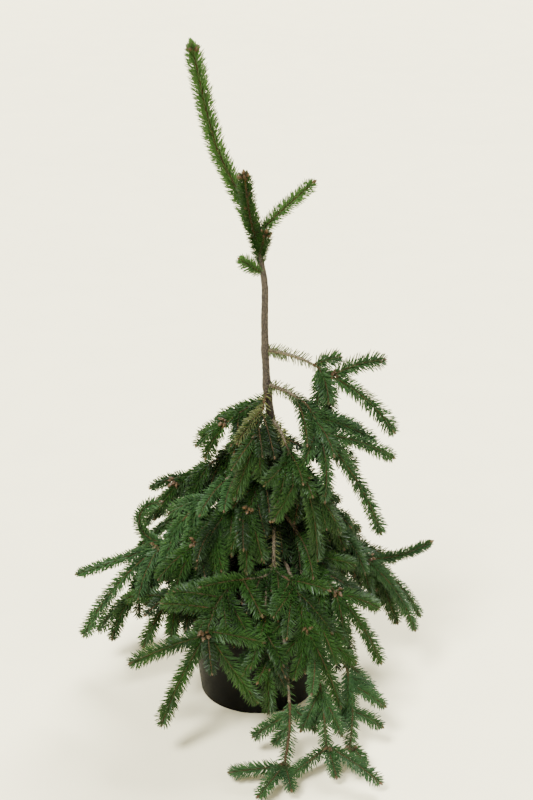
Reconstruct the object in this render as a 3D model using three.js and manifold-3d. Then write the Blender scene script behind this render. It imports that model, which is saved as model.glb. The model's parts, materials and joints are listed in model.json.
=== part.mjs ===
// A young weeping Norway spruce in a round nursery pot, in millimetres, +Z up.
// The origin is the middle of the pot's flat underside. The plant's front looks towards -Y.
// A trunk rises from the filled pot to a fork of crown shoots. Boughs leave it all round, and each of
// them carries one mass of weeping shoots, ringed with needles.

import * as THREE from "three";
import { mergeVertices } from "three/addons/utils/BufferGeometryUtils.js";
import Module from "manifold-3d";

const wasm = await Module();
wasm.setup();

// Driving dimensions.
const POT = {
  height: 210,
  base: 92.5, // radius at the foot
  top: 117, // radius under the rim band
  rim: 120,
  rimBand: 12,
  lip: 1, // the rim's rounding
  wall: 2,
  floor: 3,
  foot: 4, // the foot's rounding
  sides: 32,
};
const DRAIN = { count: 8, radius: 7, ring: 66, sides: 7 };
// The soil lies level round the trunk and falls to its edge; bend is where it falls most.
const SOIL = { level: 190, dish: 3, flat: 24, bend: { reach: 0.6, fall: 0.7 } };
const GAP = 0.3; // clearance between pieces that touch on the real plant
const CLEAR = 0.35; // least distance between two masses
const SLIVER = 0.05; // how far a joined surface may move as its shortest edges are left out
const WELD = 1e-4; // corners closer than this are one
const GROUND = 1.5; // the lowest that any shoot hangs
const STEM = { sides: 9, steps: 18 }; // the trunk's rings
const BOUGH = {
  sides: 5,
  steps: 4,
  root: 3.6, // radius past the collar
  tip: 2.1,
  collar: 1.35, // how much thicker the bough is at the trunk
  twin: 2.2, // how far each side of a fork stands off its middle
  middle: 0.55, // where along it the arch is highest
  onward: 0.42, // how long whatever goes on from a bough keeps its line, as a share of the way
  lift: 8, // how far the middle of a stem with no bough is lifted
};
// A shoot is a slim core ringed by tufts of forward-pointing needles.
const SHOOT = {
  tuft: 30, // length of shoot that one ring of needles takes
  core: 5.5, // radius at the needles' feet
  reach: 12.5, // radius at the needles' tips
  foot: 1.6, // radius of the bare foot
  ahead: 0.8, // where the needles' tips lie within their tuft
  first: 0.6, // how full the first tuft is
  last: 0.82, // how full the last tuft is
  bow: 0.07, // how far a shoot arches outwards, as a share of its length
  hookSteps: 8,
  highest: 0.985, // where on its stem the uppermost shoot starts
  apart: 0.012, // how much lower the next one starts
};
// The shoots that the seeded rule adds: the least of each value and how much more it may be.
const RULE = {
  at: [0.25, 0.6], // share along the stem
  side: [38, 34], // how far its heading turns from the stem's
  droop: [8, 22], // how much more steeply it hangs than the stem does
  steepest: -78,
  length: [0.75, 0.45], // share of the mass's usual length
  from: 0.8, // where along the stem its line is taken
};
const TURNS = [0, 7, -7, 14, -14, 21, -21]; // turns tried for a shoot that meets a neighbour, in degrees
const LIFTS = [0, 8, -8]; // lifts tried after them

const LOOKS = {
  pot: { color: 0x1b1c1d, roughness: 0.55 },
  soil: { color: 0x2f2119, roughness: 0.95 },
  bark: { color: 0x6b5138, roughness: 0.85 },
  bough: { color: 0x8a6d4a, roughness: 0.85 },
  needle: { color: 0x1f5a2b, roughness: 0.7 },
  young: { color: 0x3c7a33, roughness: 0.7 },
};

// The trunk from below the soil to its fork: height, place to the right, place to the back, radius.
const TRUNK = [
  [SOIL.level - 8, 10, 0, 15.5],
  [SOIL.level + 2, 10, 0, 12.4],
  [SOIL.level + 14, 11, 0, 9.4],
  [235, 15, 0, 8.2],
  [300, 23, 0, 7.6],
  [375, 28, 1, 7.0],
  [450, 23, 2, 6.5],
  [520, 15, 2, 6.1],
  [620, 11, 1, 5.6],
  [690, 11, 0, 5.2],
  [735, 4, 0, 4.5],
  [772, -2, 0, 3.8],
];

// The branches. Headings are in degrees about the pot's axis, 0 to the right and 90 to the back.
// root: the bough's height on the trunk, or the bough it forks from, with its side of that fork.
// tip: heading, reach and height of the bough's tip; arch lifts its middle.
// end: where the mass's own stem ends. A branch with no tip has no bough, and its stem is on the trunk.
// shoots: share along the stem, heading, pitch, length, and the bow where it isn't the usual one.
// more: how many shoots the seeded rule adds, of about the given length.
const BRANCHES = {
  upper_right: {
    root: 584, tip: [-9, 84, 567], arch: 4, end: [-10, 115, 549], more: 1, length: 50,
    shoots: [
      [0.1, 7, 16, 38], [1, -4, 21, 80], [1, -15, -39, 124], [0.35, -108, -75, 70], [0.8, -72, -84, 62],
    ],
  },
  right_hanging: {
    root: 527, tip: [-27, 77, 515], arch: 4, end: [-30, 110, 466], more: 2, length: 70,
    shoots: [
      [0.95, 5, -21, 118], [0.6, 10, -25, 98], [0.45, 16, -27, 84], [1, -17, -57, 178],
      [0.9, 42, -50, 116], [0.8, -134, -54, 72], [1, -80, -60, 100],
    ],
  },
  right_curtain: {
    root: 470, tip: [-49, 66, 452], arch: 5, end: [-51, 116, 407], more: 3, length: 70,
    shoots: [
      [1, -11, -57, 96], [0.4, -152, -39, 56], [0.8, -149, -57, 80], [1, -46, -77, 125],
      [0.6, 10, -50, 90],
    ],
  },
  front_top: {
    root: 519, end: [-91, 60, 462], more: 1, length: 45,
    shoots: [[1, -148, -66, 94], [1, -65, -74, 62], [0.5, -8, -51, 56], [0.75, 172, -58, 70]],
  },
  left_upper: {
    root: 507, end: [-150, 58, 474], more: 1, length: 48,
    shoots: [[0.75, 164, -20, 28], [1, 176, -39, 54], [1, -158, -56, 58], [0.6, -97, -68, 62]],
  },
  left_mid: {
    root: 455, end: [-173, 128, 363], more: 2, length: 66,
    shoots: [
      [0.84, 171, -21, 68], [1, 172, -54, 86], [1, -158, -51, 62], [0.68, -140, -55, 70],
      [0.5, -99, -60, 56], [0.75, 130, -50, 70],
    ],
  },
  left_long: {
    root: 402, tip: [-146, 70, 378], arch: 8, end: [-157, 166, 283], more: 2, length: 70,
    hook: { at: 1, heading: 172, pitch: 6, length: 104, turn: 178 },
    shoots: [
      [1, -175, -51, 190], [1, 169, -25, 146, 0], [0.3, 168, -28, 58], [0.45, -84, -67, 80],
      [0.75, -120, -60, 80],
    ],
  },
  left_front: {
    root: 374, tip: [-114, 50, 364], arch: 5, end: [-136, 132, 301], more: 2, length: 66,
    shoots: [
      [1, -167, -38, 74], [1, -144, -59, 78], [0.2, -162, -42, 68], [0.3, -95, -59, 70],
      [0.7, -70, -62, 70],
    ],
  },
  left_low: {
    root: 322, tip: [-127, 84, 288], arch: 8, end: [-141, 168, 219], more: 3, length: 70,
    shoots: [
      [1, 168, -8, 74], [1, -164, -58, 92], [0.9, -118, -69, 86], [0.45, 176, -18, 76],
      [0.4, -90, -64, 70],
    ],
  },
  front_fork: { root: 345, tip: [-75, 96, 266], arch: 10, radius: 3 },
  front_left: {
    root: "front_fork", side: -1, tip: [-96, 118, 257], end: [-112, 205, 198], more: 1, length: 60,
    shoots: [
      [1, 180, -23, 122], [1, -149, -59, 152], [1, -16, -54, 130], [1, -5, -10, 82], [0.62, 175, 6, 66],
      [0.55, -45, -45, 70], [0.8, 172, 2, 78], [0.2, -160, 0, 64], [0.2, -60, -32, 62],
    ],
  },
  front_right: {
    root: "front_fork", side: 1, tip: [-70, 118, 257], end: [-66, 180, 194], more: 2, length: 60,
    shoots: [
      [1, -164, -46, 84], [1, -45, -67, 128], [1, -4, -37, 92], [0.66, -157, -44, 72],
      [0.74, -12, -38, 76], [0.2, -20, -5, 60], [0.25, -120, -30, 60], [0.9, -85, -68, 84],
    ],
  },
  front_centre: {
    root: 290, tip: [-85, 140, 222], arch: 8, end: [-85, 181, 138], more: 1, length: 50,
    shoots: [[1, -82, -80, 70], [0.6, -156, -42, 56], [0.5, -35, -43, 56]],
  },
  front_right_low: {
    root: 266, tip: [-64, 207, 138], arch: 38, end: [-67, 266, 35], more: 2, length: 58,
    shoots: [
      [1, -140, -13, 66], [1, -75, -18, 52], [1, -41, -10, 102], [0.4, -43, -51, 62],
      [0.3, -130, -50, 66],
    ],
  },
  front_drip: {
    root: 240, tip: [-77, 216, 95], arch: 60, end: [-82, 283, 27], more: 1, length: 46,
    shoots: [
      [1, -176, -4, 78], [1, -119, -4, 76], [0.2, 172, -40, 70], [1, -80, -7, 54], [0.1, -20, -45, 58],
    ],
  },
  right_drip: {
    root: 252, tip: [-50, 211, 128], arch: 46, end: [-58, 264, 22], more: 1, length: 50,
    shoots: [
      [0.25, -6, -33, 60], [0.6, -7, -28, 48], [1, -60, -12, 40], [0.1, -100, -66, 80],
      [0.15, 20, -50, 66],
    ],
  },
  right_front: {
    root: 326, tip: [-44, 100, 290], arch: 8, end: [-46, 174, 235], more: 3, length: 62,
    shoots: [
      [1, 18, -28, 76], [1, -20, -55, 127], [1, -68, -63, 76], [0.3, 19, -20, 74], [0.5, -110, -48, 66],
    ],
  },
  right_long: {
    root: 365, tip: [1, 90, 326], arch: 8, end: [2, 176, 221], more: 3, length: 64,
    shoots: [
      [1, 8, -50, 136], [1, -16, -54, 138], [1, 6, 13, 104, -0.08], [0.8, 44, -66, 102],
      [0.25, 28, -34, 76], [0.5, -45, -60, 78],
    ],
  },
  front_middle: {
    root: 425, end: [-100, 78, 352], more: 2, length: 56,
    shoots: [
      [1, -95, -64, 92], [1, -50, -66, 80], [0.8, -140, -62, 74], [0.55, -30, -58, 62],
      [0.5, -160, -56, 50],
    ],
  },
  right_middle: {
    root: 412, end: [-22, 92, 344], more: 2, length: 58,
    shoots: [
      [1, -22, -52, 84], [1, 20, -60, 72], [1, -64, -62, 84], [0.5, -70, -60, 62], [0.5, 30, -56, 56],
    ],
  },
  back_upper: {
    root: 456, end: [106, 84, 384], more: 2, length: 60,
    shoots: [
      [1, 62, -62, 84], [1, 105, -52, 96], [1, 150, -60, 84], [0.5, 172, -56, 62], [0.4, 35, -58, 62],
    ],
  },
  back_left_upper: {
    root: 424, end: [156, 106, 340], more: 2, length: 60,
    shoots: [
      [1, 156, -45, 92], [1, 196, -55, 76], [1, 118, -58, 82], [0.4, 112, -52, 66], [0.5, 196, -48, 56],
    ],
  },
  back_left_mid: {
    root: 368, tip: [138, 88, 328], arch: 8, end: [140, 168, 250], more: 2, length: 66,
    shoots: [
      [1, 138, -48, 118], [1, 182, -42, 102], [1, 98, -52, 100], [0.5, 172, -52, 78],
      [0.45, 100, -55, 76],
    ],
  },
  back_middle: {
    root: 385, tip: [84, 76, 346], arch: 8, end: [86, 152, 262], more: 2, length: 66,
    shoots: [
      [1, 88, -45, 116], [1, 48, -52, 98], [1, 128, -54, 98], [0.5, 130, -50, 74], [0.45, 45, -50, 74],
    ],
  },
  back_right_mid: {
    root: 352, tip: [44, 90, 310], arch: 8, end: [40, 166, 234], more: 2, length: 64,
    shoots: [
      [1, 42, -46, 112], [1, 4, -54, 90], [1, 84, -54, 98], [0.5, 84, -52, 74], [0.45, 4, -50, 66],
    ],
  },
  right_back_low: {
    root: 274, tip: [22, 138, 240], arch: 12, end: [24, 204, 138], more: 2, length: 58,
    shoots: [
      [1, 24, -46, 92], [1, -18, -54, 78], [1, 62, -50, 80], [0.5, -24, -56, 64], [0.5, 70, -56, 64],
    ],
  },
  back_left_low: {
    root: 296, tip: [124, 136, 246], arch: 12, end: [128, 214, 130], more: 1, length: 60,
    shoots: [
      [1, 128, -42, 108], [1, 172, -40, 88], [1, 84, -42, 88], [0.55, 176, -56, 70], [0.5, 82, -56, 70],
    ],
  },
  back_right_low: {
    root: 286, tip: [64, 136, 242], arch: 12, end: [62, 214, 124], more: 1, length: 60,
    shoots: [
      [1, 58, -40, 104], [1, 14, -44, 84], [1, 100, -42, 84], [0.55, 8, -52, 66], [0.5, 106, -54, 66],
    ],
  },
  back_low: {
    root: 256, tip: [96, 142, 235], arch: 12, end: [94, 232, 92], more: 1, length: 55,
    shoots: [
      [1, 92, -32, 90], [1, 46, -36, 72], [1, 140, -36, 72], [0.6, 142, -52, 60], [0.55, 48, -52, 58],
    ],
  },
  left_back_low: {
    root: 268, tip: [168, 140, 237], arch: 12, end: [170, 204, 140], more: 1, length: 55,
    shoots: [
      [1, 168, -48, 92], [1, 208, -58, 78], [1, 130, -52, 78], [0.5, 212, -56, 60], [0.5, 126, -56, 60],
    ],
  },
};

// The shoots at the top, each straight off the trunk: height on it, the points it passes through (right,
// back, height), the reach of its needles and the radius of the bud cluster at its tip.
const CROWN = {
  leader_shoot: { root: 772, through: [[-24, 3, 824], [-58, 5, 896], [-91, 2, 1042]], reach: 11, bud: 9 },
  bud_shoot: { root: 750, through: [[-9, -24, 796], [-18, -30, 864]], reach: 13, bud: 10 },
  right_shoot: { root: 766, through: [[38, -3, 806], [80, -8, 846]], reach: 9.5, bud: 5 },
  front_tuft: { root: 736, through: [[8, -14, 756], [13, -30, 778]], reach: 8, bud: 6 },
  left_tuft: { root: 706, through: [[-8, -3, 718], [-24, -5, 729]], reach: 8, bud: 0 },
};
const CROWN_SIDES = 5;
const BUD_AT = 0.985; // where along its shoot a bud cluster sits

const UP = new THREE.Vector3(0, 0, 1);
const radians = THREE.MathUtils.degToRad;
const degrees = THREE.MathUtils.radToDeg;
const mix = THREE.MathUtils.lerp;

function polar(heading, reach, height) {
  const turn = radians(heading);
  return new THREE.Vector3(reach * Math.cos(turn), reach * Math.sin(turn), height);
}

function direction(heading, pitch) {
  return polar(heading, Math.cos(radians(pitch)), Math.sin(radians(pitch)));
}

// The part of a vector that stands square to another, at unit length.
function squareTo(along, vector) {
  return vector.clone().addScaledVector(along, -vector.dot(along)).normalize();
}

// Gives the same series of numbers from 0 to 1 for the same seed.
function randomSeries(seed) {
  let state = seed;
  return () => {
    state = (Math.imul(state, 1664525) + 1013904223) >>> 0;
    return state / 2 ** 32;
  };
}

// --- From shapes to solids and back.

function solidFrom(points, triangles) {
  return new wasm.Manifold(
    new wasm.Mesh({
      numProp: 3,
      vertProperties: new Float32Array(points.flatMap((point) => point.toArray())),
      triVerts: new Uint32Array(triangles.flat()),
    }),
  );
}

function solidOfGeometry(geometry) {
  geometry.deleteAttribute("normal");
  geometry.deleteAttribute("uv");
  const merged = mergeVertices(geometry, WELD);
  return new wasm.Manifold(
    new wasm.Mesh({
      numProp: 3,
      vertProperties: new Float32Array(merged.attributes.position.array),
      triVerts: new Uint32Array(merged.index.array),
    }),
  );
}

// Joins two solids, leaves out edges too short to see, drops loose scraps, and fills any hollow that the
// join has sealed.
function joined(one, other) {
  const bodies = one.add(other).simplify(SLIVER).decompose();
  return bodies.reduce((best, body) => (body.volume() > best.volume() ? body : best));
}

// Whether every edge joins just two faces, with corners that lie within a hair taken as one.
function isSound(solid) {
  const { vertProperties, triVerts } = solid.getMesh();
  const corner = (v) => [0, 1, 2].map((k) => vertProperties[3 * v + k].toFixed(3)).join();
  const uses = new Map();
  triVerts.forEach((v, i) => {
    const next = triVerts[i % 3 === 2 ? i - 2 : i + 1];
    const edge = [corner(v), corner(next)].sort().join();
    uses.set(edge, (uses.get(edge) ?? 0) + 1);
  });
  return [...uses.values()].every((count) => count === 2);
}

function geometryOfSolid(solid) {
  const mesh = solid.getMesh();
  const geometry = new THREE.BufferGeometry();
  const corners = new Float32Array(mesh.vertProperties);
  geometry.setAttribute("position", new THREE.BufferAttribute(corners, 3));
  geometry.setIndex(new THREE.BufferAttribute(new Uint32Array(mesh.triVerts), 1));
  const faceted = geometry.toNonIndexed();
  faceted.computeVertexNormals();
  return faceted;
}

// A closed body swept along a curve through rings of points. Each ring is a share along the curve, a
// radius and a turn; a ring with no radius is a single point.
function ringedSolid(curve, rings, sides) {
  const points = [];
  const triangles = [];
  let side = null;
  const ends = rings.map(({ share, radius, turn = 0 }) => {
    const centre = curve.getPoint(share);
    const along = curve.getTangent(share);
    side = squareTo(along, side ?? (Math.abs(along.z) > 0.9 ? new THREE.Vector3(1, 0, 0) : UP));
    const other = new THREE.Vector3().crossVectors(along, side);
    const first = points.length;
    for (let k = 0; k < (radius > 0 ? sides : 1); k += 1) {
      const angle = (2 * Math.PI * (k + turn)) / sides;
      const spoke = side.clone().multiplyScalar(Math.cos(angle)).addScaledVector(other, Math.sin(angle));
      points.push(centre.clone().addScaledVector(spoke, radius));
    }
    return { first, point: radius === 0 };
  });
  for (let i = 1; i < ends.length; i += 1) {
    const [low, high] = [ends[i - 1], ends[i]];
    for (let k = 0; k < sides; k += 1) {
      const [a, b] = [low.first + k, low.first + ((k + 1) % sides)];
      const [c, d] = high.point ? [high.first] : [high.first + k, high.first + ((k + 1) % sides)];
      triangles.push([a, b, c]);
      if (!high.point) triangles.push([b, d, c]);
    }
  }
  const last = ends.at(-1);
  for (let k = 1; k < sides - 1; k += 1) {
    triangles.push([0, k + 1, k]);
    if (!last.point) triangles.push([last.first, last.first + k, last.first + k + 1]);
  }
  return solidFrom(points, triangles);
}

// --- The trunk and the boughs.

const trunkCurve = new THREE.CatmullRomCurve3(
  TRUNK.map(([height, right, back]) => new THREE.Vector3(right, back, height)),
  false,
  "centripetal",
);

// Where the middle of the trunk is at a height, and its radius there.
function trunkAt(height) {
  const above = Math.max(1, TRUNK.findIndex((station) => station[0] >= height));
  const [low, high] = [TRUNK[above - 1], TRUNK[above]];
  const share = (height - low[0]) / (high[0] - low[0]);
  return {
    point: new THREE.Vector3(mix(low[1], high[1], share), mix(low[2], high[2], share), height),
    radius: mix(low[3], high[3], share),
  };
}

function trunkSolid(extra = 0) {
  const { sides, steps } = STEM;
  const rings = Array.from({ length: steps + 1 }, (_, i) => {
    const height = Math.min(trunkCurve.getPoint(i / steps).z, TRUNK.at(-1)[0]);
    return { share: i / steps, radius: trunkAt(height).radius + extra };
  });
  return ringedSolid(trunkCurve, rings, sides).trimByPlane(UP.toArray(), SOIL.level + GAP);
}

// A curve that goes on in line with another, a hair clear of its end, and bends to a point.
function goingOn(curve, end, offset = new THREE.Vector3()) {
  const ahead = curve.getTangent(1);
  const start = curve.getPoint(1).addScaledVector(ahead, GAP).add(offset);
  const middle = start.clone().addScaledVector(ahead, BOUGH.onward * start.distanceTo(end));
  return new THREE.QuadraticBezierCurve3(start, middle, end);
}

// A bough runs from the middle of the trunk to its tip, or on from its side of a fork.
function boughCurve({ root, side, tip, arch }) {
  const end = polar(...tip);
  if (side) {
    const parent = boughCurve(BRANCHES[root]);
    const aside = new THREE.Vector3().crossVectors(UP, parent.getTangent(1)).normalize();
    return goingOn(parent, end, aside.multiplyScalar(side * BOUGH.twin));
  }
  const start = trunkAt(root).point;
  const middle = start.clone().lerp(end, BOUGH.middle).addScaledVector(UP, 2 * arch);
  return new THREE.QuadraticBezierCurve3(start, middle, end);
}

function boughSolid(branch) {
  const { sides, steps, root, tip, collar, twin } = BOUGH;
  const thick = branch.side ? twin - GAP : root;
  const slim = branch.radius ?? (branch.side ? thick : tip);
  const rings = Array.from({ length: steps + 1 }, (_, i) => {
    const radius = mix(thick, slim, i / steps) * (i === 0 && !branch.side ? collar : 1);
    return { share: i / steps, radius };
  });
  return ringedSolid(boughCurve(branch), rings, sides).subtract(trunkCutter);
}

// --- The shoots.

// Tufts of needles ring the shoot, each turned half a step on the last, and close up at its tip.
function shootSolid(curve, length, reach = SHOOT.reach, sides = 3) {
  const tufts = Math.max(2, Math.round(length / SHOOT.tuft));
  const scale = reach / SHOOT.reach;
  const rings = [];
  for (let i = 0; i < tufts; i += 1) {
    const full = i === 0 ? SHOOT.first : i === tufts - 1 ? SHOOT.last : 1;
    const turn = 0.5 * (i % 2);
    rings.push({ share: i / tufts, radius: i === 0 ? SHOOT.foot : SHOOT.core * scale * full, turn });
    rings.push({ share: (i + SHOOT.ahead) / tufts, radius: reach * full, turn });
  }
  rings.push({ share: 1, radius: 0 });
  return ringedSolid(curve, rings, sides);
}

// A shoot arches outwards from the plant on its way from a point to its tip.
function shootCurve(base, heading, pitch, length, bow = SHOOT.bow) {
  const along = direction(heading, pitch);
  const outward = squareTo(along, new THREE.Vector3(base.x, base.y, 0).normalize().add(UP));
  const middle = base.clone().addScaledVector(along, length / 2);
  middle.addScaledVector(outward, 2 * bow * length);
  return new THREE.QuadraticBezierCurve3(base, middle, base.clone().addScaledVector(along, length));
}

// A hooked shoot curls up and back over itself in one upright arc.
function hookCurve(base, heading, pitch, { length, turn }) {
  const steps = SHOOT.hookSteps;
  const points = [base];
  for (let i = 0; i < steps; i += 1) {
    const bend = pitch + (turn * i) / steps;
    points.push(points[i].clone().addScaledVector(direction(heading, bend), length / steps));
  }
  return new THREE.CatmullRomCurve3(points);
}

// A mass's stem goes on from its bough's tip, or from inside the trunk, and bends down to its end.
function stemCurve(branch) {
  const end = polar(...branch.end);
  if (branch.tip) return goingOn(boughCurve(branch), end);
  const start = trunkAt(branch.root).point;
  const middle = start.clone().lerp(end, 0.5).addScaledVector(UP, BOUGH.lift);
  return new THREE.QuadraticBezierCurve3(start, middle, end);
}

// Every shoot of a mass: the chief ones, its hook, then those of the seeded rule, which stand left and
// right of the stem in turn and hang a little more than it does.
function shootsOf(branch, stem, seed) {
  const shoots = branch.shoots.map((values) => {
    const [at, heading, pitch, length, bow] = values;
    return { at, heading, pitch, length, bow };
  });
  if (branch.hook) shoots.push(branch.hook);
  const random = randomSeries(seed);
  const some = ([least, more]) => least + more * random();
  const along = stem.getTangent(RULE.from);
  const stemHeading = degrees(Math.atan2(along.y, along.x));
  const stemPitch = degrees(Math.asin(along.z));
  for (let i = 0; i < branch.more; i += 1)
    shoots.push({
      at: some(RULE.at),
      heading: stemHeading + (i % 2 ? 1 : -1) * some(RULE.side),
      pitch: Math.max(RULE.steepest, stemPitch - some(RULE.droop)),
      length: branch.length * some(RULE.length),
    });
  // Each leaves the stem a little below the last, so that no two have the same foot.
  return shoots.map((shoot, i) => ({ ...shoot, at: SHOOT.highest * shoot.at - SHOOT.apart * i }));
}

// --- Keeping the pieces apart.

const placed = []; // every solid so far, with its node's name and its box

function place(node, solid) {
  placed.push({ node, solid, box: solid.boundingBox() });
  return solid;
}

function boxesMeet(one, other) {
  return [0, 1, 2].every((k) => one.min[k] - CLEAR < other.max[k] && other.min[k] - CLEAR < one.max[k]);
}

// Whether a solid keeps clear of the ground and of all that other nodes have placed.
function isClear(node, solid) {
  const box = solid.boundingBox();
  const others = placed.filter((other) => other.node !== node && boxesMeet(box, other.box));
  return box.min[2] > GROUND && others.every((other) => solid.minGap(other.solid, 2 * CLEAR) >= CLEAR);
}

// The mass with one more shoot: as drawn, or the first of its turned and lifted copies that is clear of
// other nodes and makes a sound join, or none.
function withShoot(node, mass, shoot, stem) {
  const base = stem.getPoint(Math.max(0, shoot.at));
  for (const lift of LIFTS)
    for (const turn of TURNS) {
      const [heading, pitch] = [shoot.heading + turn, shoot.pitch + lift];
      const curve = shoot.turn
        ? hookCurve(base, heading, pitch, shoot)
        : shootCurve(base, heading, pitch, shoot.length, shoot.bow);
      const solid = shootSolid(curve, shoot.length);
      if (!isClear(node, solid)) continue;
      const grown = joined(mass, solid);
      if (isSound(grown)) {
        place(node, solid);
        return grown;
      }
    }
  return mass;
}

// --- The pot and its soil.

function lathe(profile, sides) {
  const points = profile.map(([radius, height]) => new THREE.Vector2(radius, height));
  const turned = new THREE.LatheGeometry(points, sides);
  turned.rotateX(Math.PI / 2);
  return solidOfGeometry(turned);
}

// A tapering thin wall with a rounded foot, a rim band and drain holes in its floor.
function potSolid() {
  const { height, base, top, rim, rimBand, lip, wall, floor, foot, sides } = POT;
  const profile = [
    [0, 0],
    [base - foot, 0],
    [base, foot],
    [top, height - rimBand],
    [rim, height - rimBand + lip],
    [rim, height - lip],
    [rim - lip, height],
    [top - wall, height],
    [top - wall - lip, height - rimBand],
    [base - wall, floor],
    [0, floor],
  ];
  let pot = lathe(profile, sides);
  for (let i = 0; i < DRAIN.count; i += 1) {
    const drill = new THREE.CylinderGeometry(DRAIN.radius, DRAIN.radius, 4 * floor, DRAIN.sides);
    drill.rotateX(Math.PI / 2);
    drill.translate(...polar((360 * i) / DRAIN.count, DRAIN.ring, floor / 2).toArray());
    pot = pot.subtract(solidOfGeometry(drill));
  }
  return pot;
}

// The soil fills the pot, a hair clear of its wall, and is flat under the trunk.
function soilSolid() {
  const { height, base, top, rimBand, lip, wall, floor, sides } = POT;
  const { level, dish, flat, bend } = SOIL;
  const share = (z) => (z - floor) / (height - rimBand - floor);
  const inside = (z) => mix(base - wall, top - wall - lip, share(z)) - 2 * GAP;
  const bottom = floor + GAP;
  const edge = level - dish;
  const profile = [
    [0, bottom],
    [inside(bottom) - lip, bottom],
    [inside(edge), edge],
    [bend.reach * inside(edge), level - bend.fall * dish],
    [flat, level],
    [0, level],
  ];
  return lathe(profile, sides);
}

// --- The whole plant.

const plant = new THREE.Group();
plant.name = "weeping_spruce";

function addMesh(name, solid, look) {
  const material = new THREE.MeshStandardMaterial({ ...look, metalness: 0 });
  const mesh = new THREE.Mesh(geometryOfSolid(solid), material);
  mesh.name = name;
  plant.add(mesh);
}

const trunkCutter = trunkSolid(GAP);
addMesh("pot", place("pot", potSolid()), LOOKS.pot);
addMesh("soil", place("soil", soilSolid()), LOOKS.soil);
addMesh("trunk", place("trunk", trunkSolid()), LOOKS.bark);

for (const [branchName, branch] of Object.entries(BRANCHES)) {
  const name = branchName + "_bough";
  if (branch.tip) addMesh(name, place(name, boughSolid(branch)), LOOKS.bough);
}

for (const [name, { root, through, reach, bud }] of Object.entries(CROWN)) {
  const points = [trunkAt(root).point, ...through.map((point) => new THREE.Vector3(...point))];
  const curve = new THREE.CatmullRomCurve3(points);
  let shoot = shootSolid(curve, curve.getLength(), reach, CROWN_SIDES).subtract(trunkCutter);
  if (bud) {
    const cluster = new THREE.IcosahedronGeometry(bud, 0);
    cluster.translate(...curve.getPoint(BUD_AT).toArray());
    shoot = shoot.add(solidOfGeometry(cluster));
  }
  addMesh(name, place(name, shoot), LOOKS.young);
}

const masses = Object.entries(BRANCHES)
  .filter(([, branch]) => branch.end)
  .map(([branchName, branch]) => {
    const name = branchName + "_foliage";
    const stem = stemCurve(branch);
    const clad = shootSolid(stem, stem.getLength()).subtract(trunkCutter);
    return { name, branch, stem, clad: place(name, clad) };
  });
masses.forEach(({ name, branch, stem, clad }, index) => {
  const grow = (mass, shoot) => withShoot(name, mass, shoot, stem);
  addMesh(name, shootsOf(branch, stem, index + 1).reduce(grow, clad), LOOKS.needle);
});

export default plant;
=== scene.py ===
# A young weeping Norway spruce in its nursery pot. Tables are in millimetres, meshes in metres.
import json
import math

import bmesh
import bpy
import numpy as np
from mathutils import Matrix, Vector
from mathutils.bvhtree import BVHTree

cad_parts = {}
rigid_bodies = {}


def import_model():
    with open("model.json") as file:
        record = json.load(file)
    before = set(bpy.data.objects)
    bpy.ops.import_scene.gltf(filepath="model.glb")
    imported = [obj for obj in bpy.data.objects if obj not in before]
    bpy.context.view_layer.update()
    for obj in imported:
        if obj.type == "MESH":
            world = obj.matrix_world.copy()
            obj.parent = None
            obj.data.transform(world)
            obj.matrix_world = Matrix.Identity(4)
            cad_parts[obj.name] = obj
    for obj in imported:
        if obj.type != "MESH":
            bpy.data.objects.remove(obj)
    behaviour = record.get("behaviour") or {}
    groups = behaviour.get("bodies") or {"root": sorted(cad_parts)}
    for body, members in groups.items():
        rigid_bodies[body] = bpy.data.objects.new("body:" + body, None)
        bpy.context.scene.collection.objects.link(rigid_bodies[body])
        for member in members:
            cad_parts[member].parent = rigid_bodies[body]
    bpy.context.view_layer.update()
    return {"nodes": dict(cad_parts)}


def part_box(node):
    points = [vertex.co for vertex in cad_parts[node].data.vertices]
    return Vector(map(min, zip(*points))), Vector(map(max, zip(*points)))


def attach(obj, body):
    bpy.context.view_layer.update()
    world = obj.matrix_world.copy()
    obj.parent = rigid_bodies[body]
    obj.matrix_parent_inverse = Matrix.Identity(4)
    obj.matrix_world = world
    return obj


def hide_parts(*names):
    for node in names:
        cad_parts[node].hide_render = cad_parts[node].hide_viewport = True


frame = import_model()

mm = 0.001
up = np.array([0.0, 0.0, 1.0])
print("frame loaded:", len(frame["nodes"]), "nodes")


# node helpers

def socketNamed(sockets, name):
    # by name or number, or the first one in use
    return next(socket for i, socket in enumerate(sockets) if socket.enabled and name in (i, socket.name, None))


def feed(tree, node, feeds):
    # feeds: input name or number -> a value, or another node's output
    for name, value in feeds.items():
        socket = socketNamed(node.inputs, name)
        if isinstance(value, bpy.types.NodeSocket):
            tree.links.new(value, socket)
        else:
            socket.default_value = value


def addNode(tree, kind, feeds=None, give=None, **settings):
    # gives back the output that is asked for, or the first one in use
    made = tree.nodes.new(kind)
    for key, value in settings.items():
        setattr(made, key, value)
    feed(tree, made, feeds or {})
    return socketNamed(made.outputs, give)


def maths(tree, operation, *values, **settings):
    return addNode(tree, "ShaderNodeMath", dict(enumerate(values)), operation=operation, **settings)


def vectorMaths(tree, operation, first, second):
    feeds = {0: first, "Scale" if operation == "SCALE" else 1: second}
    return addNode(tree, "ShaderNodeVectorMath", feeds, operation=operation)


def noise(tree, place, scale, detail):
    return addNode(tree, "ShaderNodeTexNoise", {"Vector": place, "Scale": scale, "Detail": detail})


def plates(tree, place, scale, stretch):
    # the distance to the edges of cells that are stretched upwards, and the stretched place
    squash = addNode(tree, "ShaderNodeCombineXYZ", {0: 1.0, 1: 1.0, 2: stretch})
    stretched = vectorMaths(tree, "MULTIPLY", place, squash)
    cells = addNode(tree, "ShaderNodeTexVoronoi", {
        "Vector": stretched, "Scale": scale,
    }, feature="DISTANCE_TO_EDGE")
    return cells, stretched


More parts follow.
